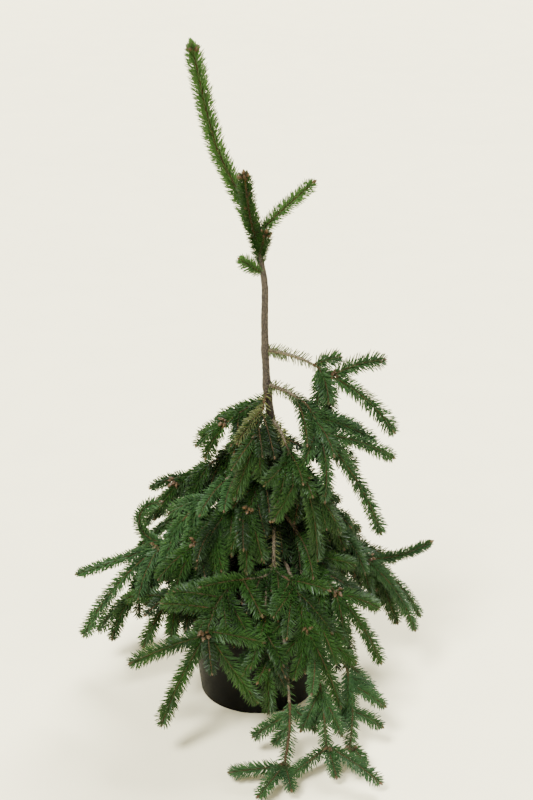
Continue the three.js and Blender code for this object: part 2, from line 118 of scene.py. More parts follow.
def newTree(name, kind, inputs, outputs):
    # inputs: name -> default value, or the kind of socket where there is none; outputs: name -> kind
    tree = bpy.data.node_groups.new(name, kind)
    kinds = {float: "Float", int: "Int", tuple: "Color"}
    for way, table in (("INPUT", inputs), ("OUTPUT", outputs)):
        for label, value in table.items():
            socketKind = kinds.get(type(value), value)
            made = tree.interface.new_socket(label, in_out=way, socket_type="NodeSocket" + socketKind)
            if socketKind != value:
                made.default_value = value
    given, result = tree.nodes.new("NodeGroupInput"), tree.nodes.new("NodeGroupOutput")

    def close(*sockets):
        for socket, end in zip(sockets, result.inputs):
            tree.links.new(socket, end)
        return tree

    return tree, lambda label: given.outputs[label], close


def addObject(name, data):
    made = bpy.data.objects.new(name, data)
    bpy.context.scene.collection.objects.link(made)
    return made


def evaluated(item):
    graph = bpy.context.evaluated_depsgraph_get()
    return bpy.data.meshes.new_from_object(item.evaluated_get(graph))


def meshObject(name, points, edges=(), faces=(), attributes=None):
    mesh = bpy.data.meshes.new(name)
    mesh.from_pydata([tuple(point) for point in points], list(edges), list(faces))
    for label, values in (attributes or {}).items():
        values = np.asarray(values, dtype=np.float32)
        vector = values.ndim == 2
        layer = mesh.attributes.new(label, "FLOAT_VECTOR" if vector else "FLOAT", "POINT")
        layer.data.foreach_set("vector" if vector else "value", values.ravel())
    mesh.update()
    return addObject(name, mesh)


def discard(*objects):
    for item in objects:
        bpy.data.objects.remove(item)


def coat(piece, material):
    piece.data.materials.clear()
    piece.data.materials.append(material)
    piece.data.polygons.foreach_set("use_smooth", [True] * len(piece.data.polygons))


def finishPiece(piece, nodes=()):
    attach(piece, "root")
    if nodes:
        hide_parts(*nodes)
    piece.data.calc_loop_triangles()
    print(f"{piece.name}: {len(piece.data.loop_triangles)} triangles")


def growPiece(name, source, tree, values, nodes=()):
    # runs a tree on a source object and keeps the result as a plain mesh at the origin
    modifier = source.modifiers.new(name, "NODES")
    modifier.node_group = tree
    for item in tree.interface.items_tree:
        if item.item_type == "SOCKET" and item.in_out == "INPUT" and item.name in values:
            modifier[item.identifier] = values[item.name]
    mesh = evaluated(source)
    mesh.name = name
    source.modifiers.remove(modifier)
    finishPiece(addObject(name, mesh), nodes)


def mix(a, b, t):
    return a + (b - a) * t


def polar(heading, reach, height):
    turn = math.radians(heading)
    return np.array([reach * math.cos(turn), reach * math.sin(turn), height])


def ring(reach, height, sides):
    angles = [2 * math.pi * k / sides for k in range(sides)]
    return [(reach * math.cos(angle) * mm, reach * math.sin(angle) * mm, height * mm) for angle in angles]


def arc(centre, radius, start, end, steps=5):
    return [tuple(polar(mix(start, end, i / steps), radius, 0)[:2] + centre) for i in range(steps + 1)]


def turned(name, profile, sides):
    # a closed lathe: the profile runs from the axis, round the outside and back to the axis
    points, rows = [], []
    for reach, height in profile:
        row = ring(reach, height, sides if reach > 1e-6 else 1)
        rows.append([len(points) + k % len(row) for k in range(sides)])
        points += row
    faces = []
    for low, high in zip(rows, rows[1:]):
        for k in range(sides):
            n = (k + 1) % sides
            corners = [low[k], low[n], high[n], high[k]]
            faces.append([c for i, c in enumerate(corners) if c not in corners[:i]])
    return meshObject(name, points, faces=[face for face in faces if len(face) > 2])


# camera, light and floor

view = {
    "place": (0.0139, -2.537, 1.567),
    "down": 22.76,  # degrees below level
    "lens": 50.0,
    "sensor": 22.22,
}
lamps = {
    # heading and height of each lamp in degrees, how soft it is, and its strength
    "key": {"heading": -118, "height": 52, "soft": 16, "strength": 9.2},
    "fill": {"heading": -50, "height": 34, "soft": 40, "strength": 1.5},
    "back": {"heading": 60, "height": 50, "soft": 30, "strength": 8.0},
}
air = {"color": (1.0, 0.97, 0.91), "strength": 0.13}
# a round floor that bends up into a low wall, in millimetres
ground = {"reach": 9000, "bend": 1200, "wall": 2200, "sides": 128, "color": (0.93, 0.865, 0.58),
          "second": (0.8928, 0.8304, 0.5568), "roughness": 0.85}


def direction(heading, pitch):
    return polar(heading, math.cos(math.radians(pitch)), math.sin(math.radians(pitch)))


camera = addObject("camera", bpy.data.cameras.new("camera"))
camera.location = view["place"]
camera.rotation_euler = (math.radians(90 - view["down"]), 0, 0)
camera.data.lens = view["lens"]
camera.data.sensor_width = view["sensor"]
bpy.context.scene.camera = camera

for name, lamp in lamps.items():
    light = bpy.data.lights.new(name + "_light", "SUN")
    light.angle = math.radians(lamp["soft"])
    light.energy = lamp["strength"]
    carrier = addObject(name + "_light", light)
    source = Vector(direction(lamp["heading"], lamp["height"]))
    carrier.location = source * 3
    carrier.rotation_euler = source.to_track_quat("Z", "Y").to_euler()

world = bpy.data.worlds.new("soft_air")
world.use_nodes = True
world.node_tree.nodes["Background"].inputs["Color"].default_value = (*air["color"], 1)
world.node_tree.nodes["Background"].inputs["Strength"].default_value = air["strength"]
bpy.context.scene.world = world


# shader groups, each used by several materials

def blend(tree, factor, first, second):
    return addNode(tree, "ShaderNodeMix", {"Factor": factor, "A": first, "B": second}, data_type="RGBA")


def mottleGroup():
    # a soft mix of two colours at a coarse and a fine scale, with a matching value from 0 to 1
    tree, given, close = newTree("mottle", "ShaderNodeTree", {
        "First": (0, 0, 0, 1), "Second": (1, 1, 1, 1), "Coarse": 40.0, "Fine": 400.0, "Share": 0.5,
        "Contrast": 1.6,
    }, {"Color": "Color", "Value": "Float"})
    place = addNode(tree, "ShaderNodeTexCoord", give="Object")
    both = maths(tree, "ADD", noise(tree, place, given("Coarse"), 2.0), noise(tree, place, given("Fine"), 1.0))
    spread = maths(tree, "MULTIPLY", maths(tree, "SUBTRACT", both, 1.0), given("Contrast"))
    value = maths(tree, "ADD", spread, given("Share"), use_clamp=True)
    return close(blend(tree, value, given("First"), given("Second")), value)


# width of the cracks; scale of the grain against the plates, and its least; scale, level and sharpness of
# the patches of lichen
barkPattern = {"edge": 0.16, "grain": 4.0, "least": 0.45, "patch": 28.0, "level": 0.75, "sharp": 4.0}


def barkGroup():
    # scaly bark: plates, cracks between them, fine grain and patches of lichen
    b = barkPattern
    tree, given, close = newTree("scalyBark", "ShaderNodeTree", {
        "Plate": (0.2, 0.14, 0.08, 1), "Crack": (0.05, 0.03, 0.02, 1), "Lichen": (0.3, 0.28, 0.2, 1),
        "Scale": 160.0, "Stretch": 0.35, "Lichen Share": 0.3,
    }, {"Color": "Color", "Height": "Float"})
    place = addNode(tree, "ShaderNodeTexCoord", give="Object")
    cells, stretched = plates(tree, place, given("Scale"), given("Stretch"))
    grain = noise(tree, stretched, maths(tree, "MULTIPLY", given("Scale"), b["grain"]), 3.0)
    edge = addNode(tree, "ShaderNodeMapRange", {"Value": cells, 1: 0.0, 2: b["edge"]})
    grainy = maths(tree, "MULTIPLY", edge, maths(tree, "ADD", grain, b["least"]), use_clamp=True)
    bare = maths(tree, "SUBTRACT", b["level"], given("Lichen Share"))
    share = maths(tree, "SUBTRACT", noise(tree, place, b["patch"], 3.0), bare)
    patch = maths(tree, "MULTIPLY", share, b["sharp"], use_clamp=True)
    plain = blend(tree, grainy, given("Crack"), given("Plate"))
    return close(blend(tree, maths(tree, "MULTIPLY", patch, grainy), plain, given("Lichen")), grainy)


mottle = mottleGroup()
scalyBark = barkGroup()


def newMaterial(name, group, values, roughness, bump=None, shine=0.5):
    # roughness: one number, or two that the group's value goes between; bump: (strength, distance)
    material = bpy.data.materials.new(name)
    material.use_nodes = True
    tree = material.node_tree
    values = {label: (*value, 1) if isinstance(value, tuple) else value for label, value in values.items()}
    placed = addNode(tree, "ShaderNodeGroup", values, node_tree=group).node
    measure = placed.outputs[1]
    if isinstance(roughness, tuple):
        roughness = addNode(tree, "ShaderNodeMapRange", {"Value": measure, 3: roughness[0], 4: roughness[1]})
    feeds = {"Base Color": placed.outputs["Color"], "Roughness": roughness, "Specular IOR Level": shine}
    if bump:
        strength, distance = bump
        feeds["Normal"] = addNode(tree, "ShaderNodeBump", {
            "Strength": strength, "Distance": distance, "Height": measure,
        })
    feed(tree, tree.nodes["Principled BSDF"], feeds)
    return material


floorMaterial = newMaterial("pale_floor", mottle, {
    "First": ground["color"], "Second": ground["second"], "Coarse": 1.2, "Fine": 9.0,
}, ground["roughness"])
bend = arc((ground["reach"] - ground["bend"], ground["bend"]), ground["bend"], 0, -90, 12)
floor = turned("floor", [(ground["reach"], ground["wall"]), *bend, (0, 0)], ground["sides"])
coat(floor, floorMaterial)
print("camera, light and floor made")


# curves, worked out as in the part's source

def unit(v):
    return v / np.linalg.norm(v)


def squareTo(along, vector):
    return unit(vector - along * np.dot(vector, along))


def bezier(start, middle, end):
    return lambda t: start * (1 - t) ** 2 + middle * (2 * t * (1 - t)) + end * t * t


def smoothThrough(points):
    # a Catmull-Rom curve through the points, open at both ends
    points = [np.array(point, float) for point in points]
    run = [2 * points[0] - points[1], *points, 2 * points[-1] - points[-2]]

    def curve(t):
        place = t * (len(points) - 1)
        i = min(int(place), len(points) - 2)
        w = place - i
        p0, p1, p2, p3 = run[i:i + 4]
        d0, d1, d2 = (np.linalg.norm(b - a) ** 0.5 for a, b in ((p0, p1), (p1, p2), (p2, p3)))
        t1 = d1 * ((p1 - p0) / d0 - (p2 - p0) / (d0 + d1) + (p2 - p1) / d1)
        t2 = d1 * ((p2 - p1) / d1 - (p3 - p1) / (d1 + d2) + (p3 - p2) / d2)
        return p1 + t1 * w + (3 * (p2 - p1) - 2 * t1 - t2) * w ** 2 + (2 * (p1 - p2) + t1 + t2) * w ** 3

    return curve


def tangent(curve, t):
    return unit(curve(min(1, t + 1e-4)) - curve(max(0, t - 1e-4)))


def lengthOf(curve, steps=24):
    points = [curve(i / steps) for i in range(steps + 1)]
    return sum(np.linalg.norm(b - a) for a, b in zip(points, points[1:]))


def randomSeries(seed):
    state = seed
    while True:
        state = (state * 1664525 + 1013904223) % 2 ** 32
        yield state / 2 ** 32


# the plant's own sizes

soilLevel = 190
clearance = 0.3
# the pot's outline, which the foliage keeps clear of; radii of its foot and rim
potOutline = {"height": 210, "base": 92.5, "rim": 120}
boughSize = {"root": 3.6, "tip": 2.1, "collar": 1.35, "twin": 2.2, "middle": 0.55, "onward": 0.42, "lift": 8,
             "collarEnd": 0.12, "steps": 40}
shootSize = {"bow": 0.07, "hookSteps": 8, "highest": 0.985, "apart": 0.012, "found": 0.4}
addedShoots = {"at": (0.25, 0.6), "side": (38, 34), "droop": (8, 22), "steepest": -78,
               "length": (0.75, 0.45), "from": 0.8}
turns = (0, 7, -7, 14, -14, 21, -21)
lifts = (0, 8, -8)

# height, place to the right, place to the back, radius
trunkStations = [
    (182, 10, 0, 15.5), (192, 10, 0, 12.4), (204, 11, 0, 9.4), (235, 15, 0, 8.2), (300, 23, 0, 7.6),
    (375, 28, 1, 7.0), (450, 23, 2, 6.5), (520, 15, 2, 6.1), (620, 11, 1, 5.6), (690, 11, 0, 5.2),
    (735, 4, 0, 4.5), (772, -2, 0, 3.8),
]
# height on the trunk; heading, reach and height of the bough's end, and its arch; heading, reach and height
# of the stem's end; number and length of the added shoots; then the shoots themselves, each with its
# place on the stem, heading, pitch, length and, where it isn't the usual one, bow
branchColumns = ("root", "tip", "arch", "end", "more", "length")
branchTable = {
    "upper_right": (584, (-9, 84, 567), 4, (-10, 115, 549), 1, 50, (0.1, 7, 16, 38), (1, -4, 21, 80),
        (1, -15, -39, 124), (0.35, -108, -75, 70), (0.8, -72, -84, 62)),
    "right_hanging": (527, (-27, 77, 515), 4, (-30, 110, 466), 2, 70, (0.95, 5, -21, 118), (0.6, 10, -25, 98),
        (0.45, 16, -27, 84), (1, -17, -57, 178), (0.9, 42, -50, 116), (0.8, -134, -54, 72),
        (1, -80, -60, 100)),
    "right_curtain": (470, (-49, 66, 452), 5, (-51, 116, 407), 3, 70, (1, -11, -57, 96), (0.4, -152, -39, 56),
        (0.8, -149, -57, 80), (1, -46, -77, 125), (0.6, 10, -50, 90)),
    "front_top": (519, None, None, (-91, 60, 462), 1, 45, (1, -148, -66, 94), (1, -65, -74, 62),
        (0.5, -8, -51, 56), (0.75, 172, -58, 70)),
    "left_upper": (507, None, None, (-150, 58, 474), 1, 48, (0.75, 164, -20, 28), (1, 176, -39, 54),
        (1, -158, -56, 58), (0.6, -97, -68, 62)),
    "left_mid": (455, None, None, (-173, 128, 363), 2, 66, (0.84, 171, -21, 68), (1, 172, -54, 86),
        (1, -158, -51, 62), (0.68, -140, -55, 70), (0.5, -99, -60, 56), (0.75, 130, -50, 70)),
    "left_long": (402, (-146, 70, 378), 8, (-157, 166, 283), 2, 70, (1, -175, -51, 190),
        (1, 169, -25, 146, 0), (0.3, 168, -28, 58), (0.45, -84, -67, 80), (0.75, -120, -60, 80)),
    "left_front": (374, (-114, 50, 364), 5, (-136, 132, 301), 2, 66, (1, -167, -38, 74), (1, -144, -59, 78),
        (0.2, -162, -42, 68), (0.3, -95, -59, 70), (0.7, -70, -62, 70)),
    "left_low": (322, (-127, 84, 288), 8, (-141, 168, 219), 3, 70, (1, 168, -8, 74), (1, -164, -58, 92),
        (0.9, -118, -69, 86), (0.45, 176, -18, 76), (0.4, -90, -64, 70)),
    "front_fork": (345, (-75, 96, 266), 10),
    "front_left": ("front_fork", (-96, 118, 257), None, (-112, 205, 198), 1, 60, (1, 180, -23, 122),
        (1, -149, -59, 152), (1, -16, -54, 130), (1, -5, -10, 82), (0.62, 175, 6, 66), (0.55, -45, -45, 70),
        (0.8, 172, 2, 78), (0.2, -160, 0, 64), (0.2, -60, -32, 62)),
    "front_right": ("front_fork", (-70, 118, 257), None, (-66, 180, 194), 2, 60, (1, -164, -46, 84),
        (1, -45, -67, 128), (1, -4, -37, 92), (0.66, -157, -44, 72), (0.74, -12, -38, 76), (0.2, -20, -5, 60),
        (0.25, -120, -30, 60), (0.9, -85, -68, 84)),
    "front_centre": (290, (-85, 140, 222), 8, (-85, 181, 138), 1, 50, (1, -82, -80, 70), (0.6, -156, -42, 56),
        (0.5, -35, -43, 56)),
    "front_right_low": (266, (-64, 207, 138), 38, (-67, 266, 35), 2, 58, (1, -140, -13, 66),
        (1, -75, -18, 52), (1, -41, -10, 102), (0.4, -43, -51, 62), (0.3, -130, -50, 66)),
    "front_drip": (240, (-77, 216, 95), 60, (-82, 283, 27), 1, 46, (1, -176, -4, 78), (1, -119, -4, 76),
        (0.2, 172, -40, 70), (1, -80, -7, 54), (0.1, -20, -45, 58)),
    "right_drip": (252, (-50, 211, 128), 46, (-58, 264, 22), 1, 50, (0.25, -6, -33, 60), (0.6, -7, -28, 48),
        (1, -60, -12, 40), (0.1, -100, -66, 80), (0.15, 20, -50, 66)),
    "right_front": (326, (-44, 100, 290), 8, (-46, 174, 235), 3, 62, (1, 18, -28, 76), (1, -20, -55, 127),
        (1, -68, -63, 76), (0.3, 19, -20, 74), (0.5, -110, -48, 66)),
    "right_long": (365, (1, 90, 326), 8, (2, 176, 221), 3, 64, (1, 8, -50, 136), (1, -16, -54, 138),
        (1, 6, 13, 104, -0.08), (0.8, 44, -66, 102), (0.25, 28, -34, 76), (0.5, -45, -60, 78)),
    "front_middle": (425, None, None, (-100, 78, 352), 2, 56, (1, -95, -64, 92), (1, -50, -66, 80),
        (0.8, -140, -62, 74), (0.55, -30, -58, 62), (0.5, -160, -56, 50)),
    "right_middle": (412, None, None, (-22, 92, 344), 2, 58, (1, -22, -52, 84), (1, 20, -60, 72),
        (1, -64, -62, 84), (0.5, -70, -60, 62), (0.5, 30, -56, 56)),
    "back_upper": (456, None, None, (106, 84, 384), 2, 60, (1, 62, -62, 84), (1, 105, -52, 96),
        (1, 150, -60, 84), (0.5, 172, -56, 62), (0.4, 35, -58, 62)),
    "back_left_upper": (424, None, None, (156, 106, 340), 2, 60, (1, 156, -45, 92), (1, 196, -55, 76),
        (1, 118, -58, 82), (0.4, 112, -52, 66), (0.5, 196, -48, 56)),
    "back_left_mid": (368, (138, 88, 328), 8, (140, 168, 250), 2, 66, (1, 138, -48, 118), (1, 182, -42, 102),
        (1, 98, -52, 100), (0.5, 172, -52, 78), (0.45, 100, -55, 76)),
    "back_middle": (385, (84, 76, 346), 8, (86, 152, 262), 2, 66, (1, 88, -45, 116), (1, 48, -52, 98),
        (1, 128, -54, 98), (0.5, 130, -50, 74), (0.45, 45, -50, 74)),
    "back_right_mid": (352, (44, 90, 310), 8, (40, 166, 234), 2, 64, (1, 42, -46, 112), (1, 4, -54, 90),
        (1, 84, -54, 98), (0.5, 84, -52, 74), (0.45, 4, -50, 66)),
    "right_back_low": (274, (22, 138, 240), 12, (24, 204, 138), 2, 58, (1, 24, -46, 92), (1, -18, -54, 78),
        (1, 62, -50, 80), (0.5, -24, -56, 64), (0.5, 70, -56, 64)),
    "back_left_low": (296, (124, 136, 246), 12, (128, 214, 130), 1, 60, (1, 128, -42, 108), (1, 172, -40, 88),
        (1, 84, -42, 88), (0.55, 176, -56, 70), (0.5, 82, -56, 70)),
    "back_right_low": (286, (64, 136, 242), 12, (62, 214, 124), 1, 60, (1, 58, -40, 104), (1, 14, -44, 84),
        (1, 100, -42, 84), (0.55, 8, -52, 66), (0.5, 106, -54, 66)),
    "back_low": (256, (96, 142, 235), 12, (94, 232, 92), 1, 55, (1, 92, -32, 90), (1, 46, -36, 72),
        (1, 140, -36, 72), (0.6, 142, -52, 60), (0.55, 48, -52, 58)),
    "left_back_low": (268, (168, 140, 237), 12, (170, 204, 140), 1, 55, (1, 168, -48, 92), (1, 208, -58, 78),
        (1, 130, -52, 78), (0.5, 212, -56, 60), (0.5, 126, -56, 60)),
}
branches = {name: {**dict(zip(branchColumns, row)), "shoots": row[len(branchColumns):]}
            for name, row in branchTable.items()}
branches["left_long"]["hook"] = {"at": 1, "heading": 172, "pitch": 6, "length": 104, "turn": 178}
branches["front_fork"]["radius"] = 3
branches["front_left"]["side"] = -1
branches["front_right"]["side"] = 1

# height on the trunk and the points passed through
crown = {
    "leader_shoot": {"root": 772, "through": [(-24, 3, 824), (-58, 5, 896), (-91, 2, 1042)]},
    "bud_shoot": {"root": 750, "through": [(-9, -24, 796), (-18, -30, 864)]},
    "right_shoot": {"root": 766, "through": [(38, -3, 806), (80, -8, 846)]},
    "front_tuft": {"root": 736, "through": [(8, -14, 756), (13, -30, 778)]},
    "left_tuft": {"root": 706, "through": [(-8, -3, 718), (-24, -5, 729)]},
}


def trunkAt(height):
    # the point on the trunk's line at a height, and the radius there
    above = max(1, next(i for i, station in enumerate(trunkStations) if station[0] >= height))
    low, high = np.array(trunkStations[above - 1], float), np.array(trunkStations[above], float)
    _, right, back, radius = mix(low, high, (height - low[0]) / (high[0] - low[0]))
    return np.array([right, back, height]), radius


def goingOn(curve, end, offset=0):
    # a limb that carries on from the end of another one
    ahead = tangent(curve, 1)
    start = curve(1) + ahead * clearance + offset
    return bezier(start, start + ahead * boughSize["onward"] * np.linalg.norm(end - start), end)


def boughCurve(branch):
    end = polar(*branch["tip"])
    if "side" in branch:
        parent = boughCurve(branches[branch["root"]])
        aside = unit(np.cross(up, tangent(parent, 1)))
        return goingOn(parent, end, aside * branch["side"] * boughSize["twin"])
    start = trunkAt(branch["root"])[0]
    return bezier(start, mix(start, end, boughSize["middle"]) + up * 2 * branch["arch"], end)


def stemCurve(branch):
    end = polar(*branch["end"])
    if branch["tip"]:
        return goingOn(boughCurve(branch), end)
    start = trunkAt(branch["root"])[0]
    return bezier(start, (start + end) / 2 + up * boughSize["lift"], end)


def outwardFrom(point, along):
    # away from the plant's middle and up, square to the limb
    level = np.array([point[0], point[1], 0.0])
    return squareTo(along, level / max(np.linalg.norm(level), 1e-6) + up)


def shootCurve(base, heading, pitch, length, bow):
    along = direction(heading, pitch)
    middle = base + along * length / 2 + outwardFrom(base, along) * 2 * bow * length
    return bezier(base, middle, base + along * length)


def hookCurve(base, heading, pitch, hook):
    steps = shootSize["hookSteps"]
    points = [base]
    for i in range(steps):
        bend = pitch + hook["turn"] * i / steps
        points.append(points[-1] + direction(heading, bend) * hook["length"] / steps)
    return smoothThrough(points)


def headingOf(along):
    return math.degrees(math.atan2(along[1], along[0]))


def shootsOf(branch, stem, seed):
    names = ("at", "heading", "pitch", "length", "bow")
    found = [{"bow": shootSize["bow"], **dict(zip(names, values))} for values in branch["shoots"]]
    if "hook" in branch:
        found.append(branch["hook"])
    series = randomSeries(seed)

    def some(span):
        return span[0] + span[1] * next(series)

    along = tangent(stem, addedShoots["from"])
    pitch = math.degrees(math.asin(along[2]))
    for i in range(branch["more"]):
        found.append({
            "at": some(addedShoots["at"]),
            "heading": headingOf(along) + (1 if i % 2 else -1) * some(addedShoots["side"]),
            "pitch": max(addedShoots["steepest"], pitch - some(addedShoots["droop"])),
            "length": branch["length"] * some(addedShoots["length"]),
            "bow": shootSize["bow"],
        })
    return [{**shoot, "at": shootSize["highest"] * shoot["at"] - shootSize["apart"] * i}
            for i, shoot in enumerate(found)]


def placedShoot(surface, stem, shoot):
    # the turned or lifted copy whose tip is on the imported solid, or None where it was skipped
    base = stem(max(0, shoot["at"]))
    for lift in lifts:
        for turn in turns:
            heading, pitch = shoot["heading"] + turn, shoot["pitch"] + lift
            if "turn" in shoot:
                curve = hookCurve(base, heading, pitch, shoot)
            else:
                curve = shootCurve(base, heading, pitch, shoot["length"], shoot["bow"])
            if surface.find_nearest(Vector(curve(1) * mm))[3] < shootSize["found"] * mm:
                return curve
    return None


# every axis that carries needles, as a curve with the sizes along it: radius at foot and tip, needle
# length and spacing, lean along the axis and at its end, share of needles kept at foot and tip
plainAxis = {"cover": (1, 1), "parting": 0.1, "girth": 1.0, "bare": 3, "endSize": 0.58, "bud": True}
axisKinds = {
    "stem": {"radius": (2.0, 1.5), "needle": 14.5, "spacing": 0.4, "lean": (58, 48), "cover": (0.8, 1),
             "parting": 0.12},
    "shoot": {"radius": (1.4, 1.0), "needle": 16.6, "spacing": 0.3, "lean": (56, 38), "parting": 0.12},
    "filler": {"radius": (1.3, 0.9), "needle": 14.2, "spacing": 0.38, "lean": (56, 36)},
    "inner": {"radius": (1.3, 0.9), "needle": 16.0, "spacing": 0.62, "lean": (60, 30), "girth": 1.25},
    "sprig": {"radius": (1.1, 0.8), "needle": 14.0, "spacing": 0.36, "lean": (56, 36)},
    "leader": {"radius": (3.2, 2.2), "needle": 17.5, "spacing": 0.15, "lean": (54, 26), "parting": -0.1,
               "girth": 0.72},
    "bough": {"radius": (3.6, 2.1), "needle": 12.5, "spacing": 0.34, "lean": (64, 50), "cover": (0.0, 0.6),
              "parting": 0.2},
}
axes = []


def addAxis(curve, kind, tint, node, **changes):
    axis = {**plainAxis, **axisKinds[kind], "curve": curve, "kind": kind, "tint": tint, "node": node,
            "length": lengthOf(curve), **changes}
    axes.append(axis)
    return axis


# each mass's green; share of needles on its bough at foot and tip; how thickly hanging shoots fill its
# bough and its stem, and how many drape down; "reach" changes the length of its needles
massLooks = {
    "upper_right": {"tint": "soft", "clad": (1, 0.3), "oldTint": "faded", "fill": (0, 0), "reach": 1.14},
    "right_hanging": {"tint": "soft", "clad": (1, 0.5), "oldTint": "faded", "fill": (1.3, 0.4),
                      "sprigs": False, "reach": 1.02, "under": "mid", "inner": False},
    "right_curtain": {"tint": "mid", "clad": (0.5, 0.9), "oldTint": "olive", "fill": (0.7, 1)},
    "front_top": {"tint": "mid", "oldTint": "olive", "low": 0.8, "fill": (0, 1.2)},
    "left_upper": {"fill": (0, 0.9)},
    "left_mid": {"tint": "mid", "fill": (0, 0.6)},
    "left_long": {"tint": "pale", "fill": (1.7, 1.0), "drape": 1.2},
    "left_front": {"fill": (1.2, 1.2)},
    "left_low": {"fill": (1.2, 1), "drape": 1.4},
    "front_left": {"clad": (0.8, 1), "fill": (1.2, 0.8), "reach": 1.08},
    "front_right": {"clad": (0.8, 1), "fill": (1.2, 1)},
    "front_centre": {"fill": (1.1, 1.2)},
    "front_right_low": {"tint": "pale", "fill": (0.8, 0), "sprigs": False, "reach": 0.94},
    "front_drip": {"tint": "pale", "clad": (0, 0.2), "fill": (0.4, 0), "sprigs": False,
                   "reach": 0.94, "stem": {"radius": (2.7, 2.2), "spacing": 0.62}},
    "right_drip": {"tint": "pale", "fill": (0.7, 0), "sprigs": False, "reach": 0.94},
    "right_front": {"clad": (0, 0), "fill": (0.9, 1), "drape": 1},
    "right_long": {"tint": "soft", "fill": (1.6, 0.4), "drape": 0.8, "sprigs": False, "reach": 0.76},
    "right_back_low": {"tint": "deep", "fill": (1.4, 0.6), "drape": 0.4},
    "left_back_low": {"tint": "deep", "fill": (1.4, 0.4), "drape": 0.2},
    "front_middle": {"tint": "mid", "fill": (0, 1)},
    "right_middle": {"tint": "mid", "fill": (0, 1.5), "drape": 1},
    "front_fork": {"clad": (0, 0.3), "oldTint": "olive", "fill": (0.7, 0)},
}
usualLook = {"tint": "light", "clad": (0.1, 0.7), "oldTint": "deep", "drape": 0, "reach": 1, "low": 0,
             "inner": True, "sprigs": True, "stem": {}}
backLook = {"tint": "deep", "fill": (1.4, 1.3), "drape": 0.5}  # of the masses that aren't in the table
leastInner = 0.4  # a bough that is filled less than this gets no inner shoots

# side shoots on stems and on long shoots low on them, within the reach of their own mass
sprigRule = {"from": 0.12, "to": 0.7, "every": 27, "loose": (0.3, 0.4), "angle": (24, 44),
             "share": (0.6, 0.9), "stretch": 1.4, "longest": 80, "shortest": 30, "droop": 0.24,
             "middle": 0.55, "inside": 9, "clear": 8, "parent": 76, "lowest": 0.9}
# shoots that hang from a bough or a stem: where and how often, how they are aimed, how far they may
# pass the box of the mass, how clear of the pot they stay at the tested points, and the cuts tried
hangRules = {
    # close the crown round the trunk
    "fill": {"kind": "filler", "from": 0.22, "to": 0.97, "every": 17, "side": (12, 70), "pitch": (-22, -62),
             "length": (56, 98), "loose": 8, "clear": 9, "tested": (0.4, 0.7, 1), "cuts": (1, 0.75, 0.55)},
    # painted shade: in the darker shade green, close to the trunk, over the soil and the pot's rim
    "inner": {"kind": "inner", "from": 0.1, "to": 0.7, "count": 5, "side": (0, 70), "pitch": (-48, -84),
              "length": (56, 96), "clear": 7, "tested": (0.3, 0.5, 0.75, 1), "cuts": (1, 0.75, 0.55, 0.4)},
}
# longer, draped down outside the pot
hangRules["drape"] = {**hangRules["fill"], "from": 0.0, "to": 0.7, "side": (0, 48), "pitch": (-56, -80),
                      "length": (95, 150)}
lowestTip = 16
# fillers of these greens get painted shade: every other one takes the shade green
shadedTints = ("light", "mid", "deep")
# kept clear of added shoots, so that the hooked shoot stands free: a sloping tunnel from front to back
hookRoom = {"right": -164, "height": 292, "slope": 0.5, "reach": 50}


def insidePot(point, margin):
    reach = math.hypot(point[0], point[1])
    share = min(1, max(0, point[2] / potOutline["height"]))
    wall = mix(potOutline["base"], potOutline["rim"], share)
    if point[2] > potOutline["height"] + margin or reach > wall + margin:
        return False
    return point[2] < soilLevel + margin or reach > wall - margin


def inHookRoom(point):
    height = point[2] + hookRoom["slope"] * point[1]
    return math.hypot(point[0] - hookRoom["right"], height - hookRoom["height"]) < hookRoom["reach"]


def boxOf(node):
    low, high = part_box(node)
    return np.array(low) / mm, np.array(high) / mm


def addSprigs(parent, series, node):
    rule = sprigRule
    low, high = boxOf(node)
    count = int(parent["length"] * (rule["to"] - rule["from"]) / rule["every"])
    for i in range(count):
        at = mix(rule["from"], rule["to"], (i + rule["loose"][0] + rule["loose"][1] * next(series)) / count)
        base, along = parent["curve"](at), tangent(parent["curve"], at)
        side = unit(np.cross(outwardFrom(base, along), along)) * (1 if i % 2 else -1)
        angle = math.radians(mix(*rule["angle"], next(series)))
        heading = unit(along * math.cos(angle) + side * math.sin(angle))
        length = parent["length"] * (1 - at) * mix(*rule["share"], next(series)) * rule["stretch"]
        length = max(rule["shortest"], min(rule["longest"], length))
        end = base + heading * length - up * length * rule["droop"]
        inside = all(end >= low + rule["inside"]) and all(end <= high - rule["inside"])
        if inside and not insidePot(end, rule["clear"]):
            curve = bezier(base, base + heading * length * rule["middle"], end)
            addAxis(curve, "sprig", parent["tint"], node)


def addHanging(kind, host, amount, tint, node, series):
    rule = hangRules[kind]
    low, high = boxOf(node)
    span = rule["to"] - rule["from"]
    count = rule.get("count") or round(amount * lengthOf(host) * span / rule["every"])
    for i in range(count):
        at = mix(rule["from"], rule["to"], (i + next(series)) / count)
        base, along = host(at), tangent(host, at)
        heading = headingOf(along) + (1 if i % 2 else -1) * mix(*rule["side"], next(series))
        pitch, length = mix(*rule["pitch"], next(series)), mix(*rule["length"], next(series))
        for cut in rule["cuts"]:
            curve = shootCurve(base, heading, pitch, length * cut, shootSize["bow"])
            end, tested = curve(1), [curve(t) for t in rule["tested"]]
            free = end[2] > lowestTip and not any(insidePot(point, rule["clear"]) for point in tested)
            if "loose" in rule:
                inside = all(end > low - rule["loose"]) and all(end < high + rule["loose"])
                free = free and inside and not any(inHookRoom(point) for point in tested)
            if free:
                # painted shade: every other filler takes the darker shade green, so that the shoots over it
                # stand out
                shaded = kind == "fill" and i % 2 and tint in shadedTints
                addAxis(curve, rule["kind"], "shade" if shaded else tint, node)
                break


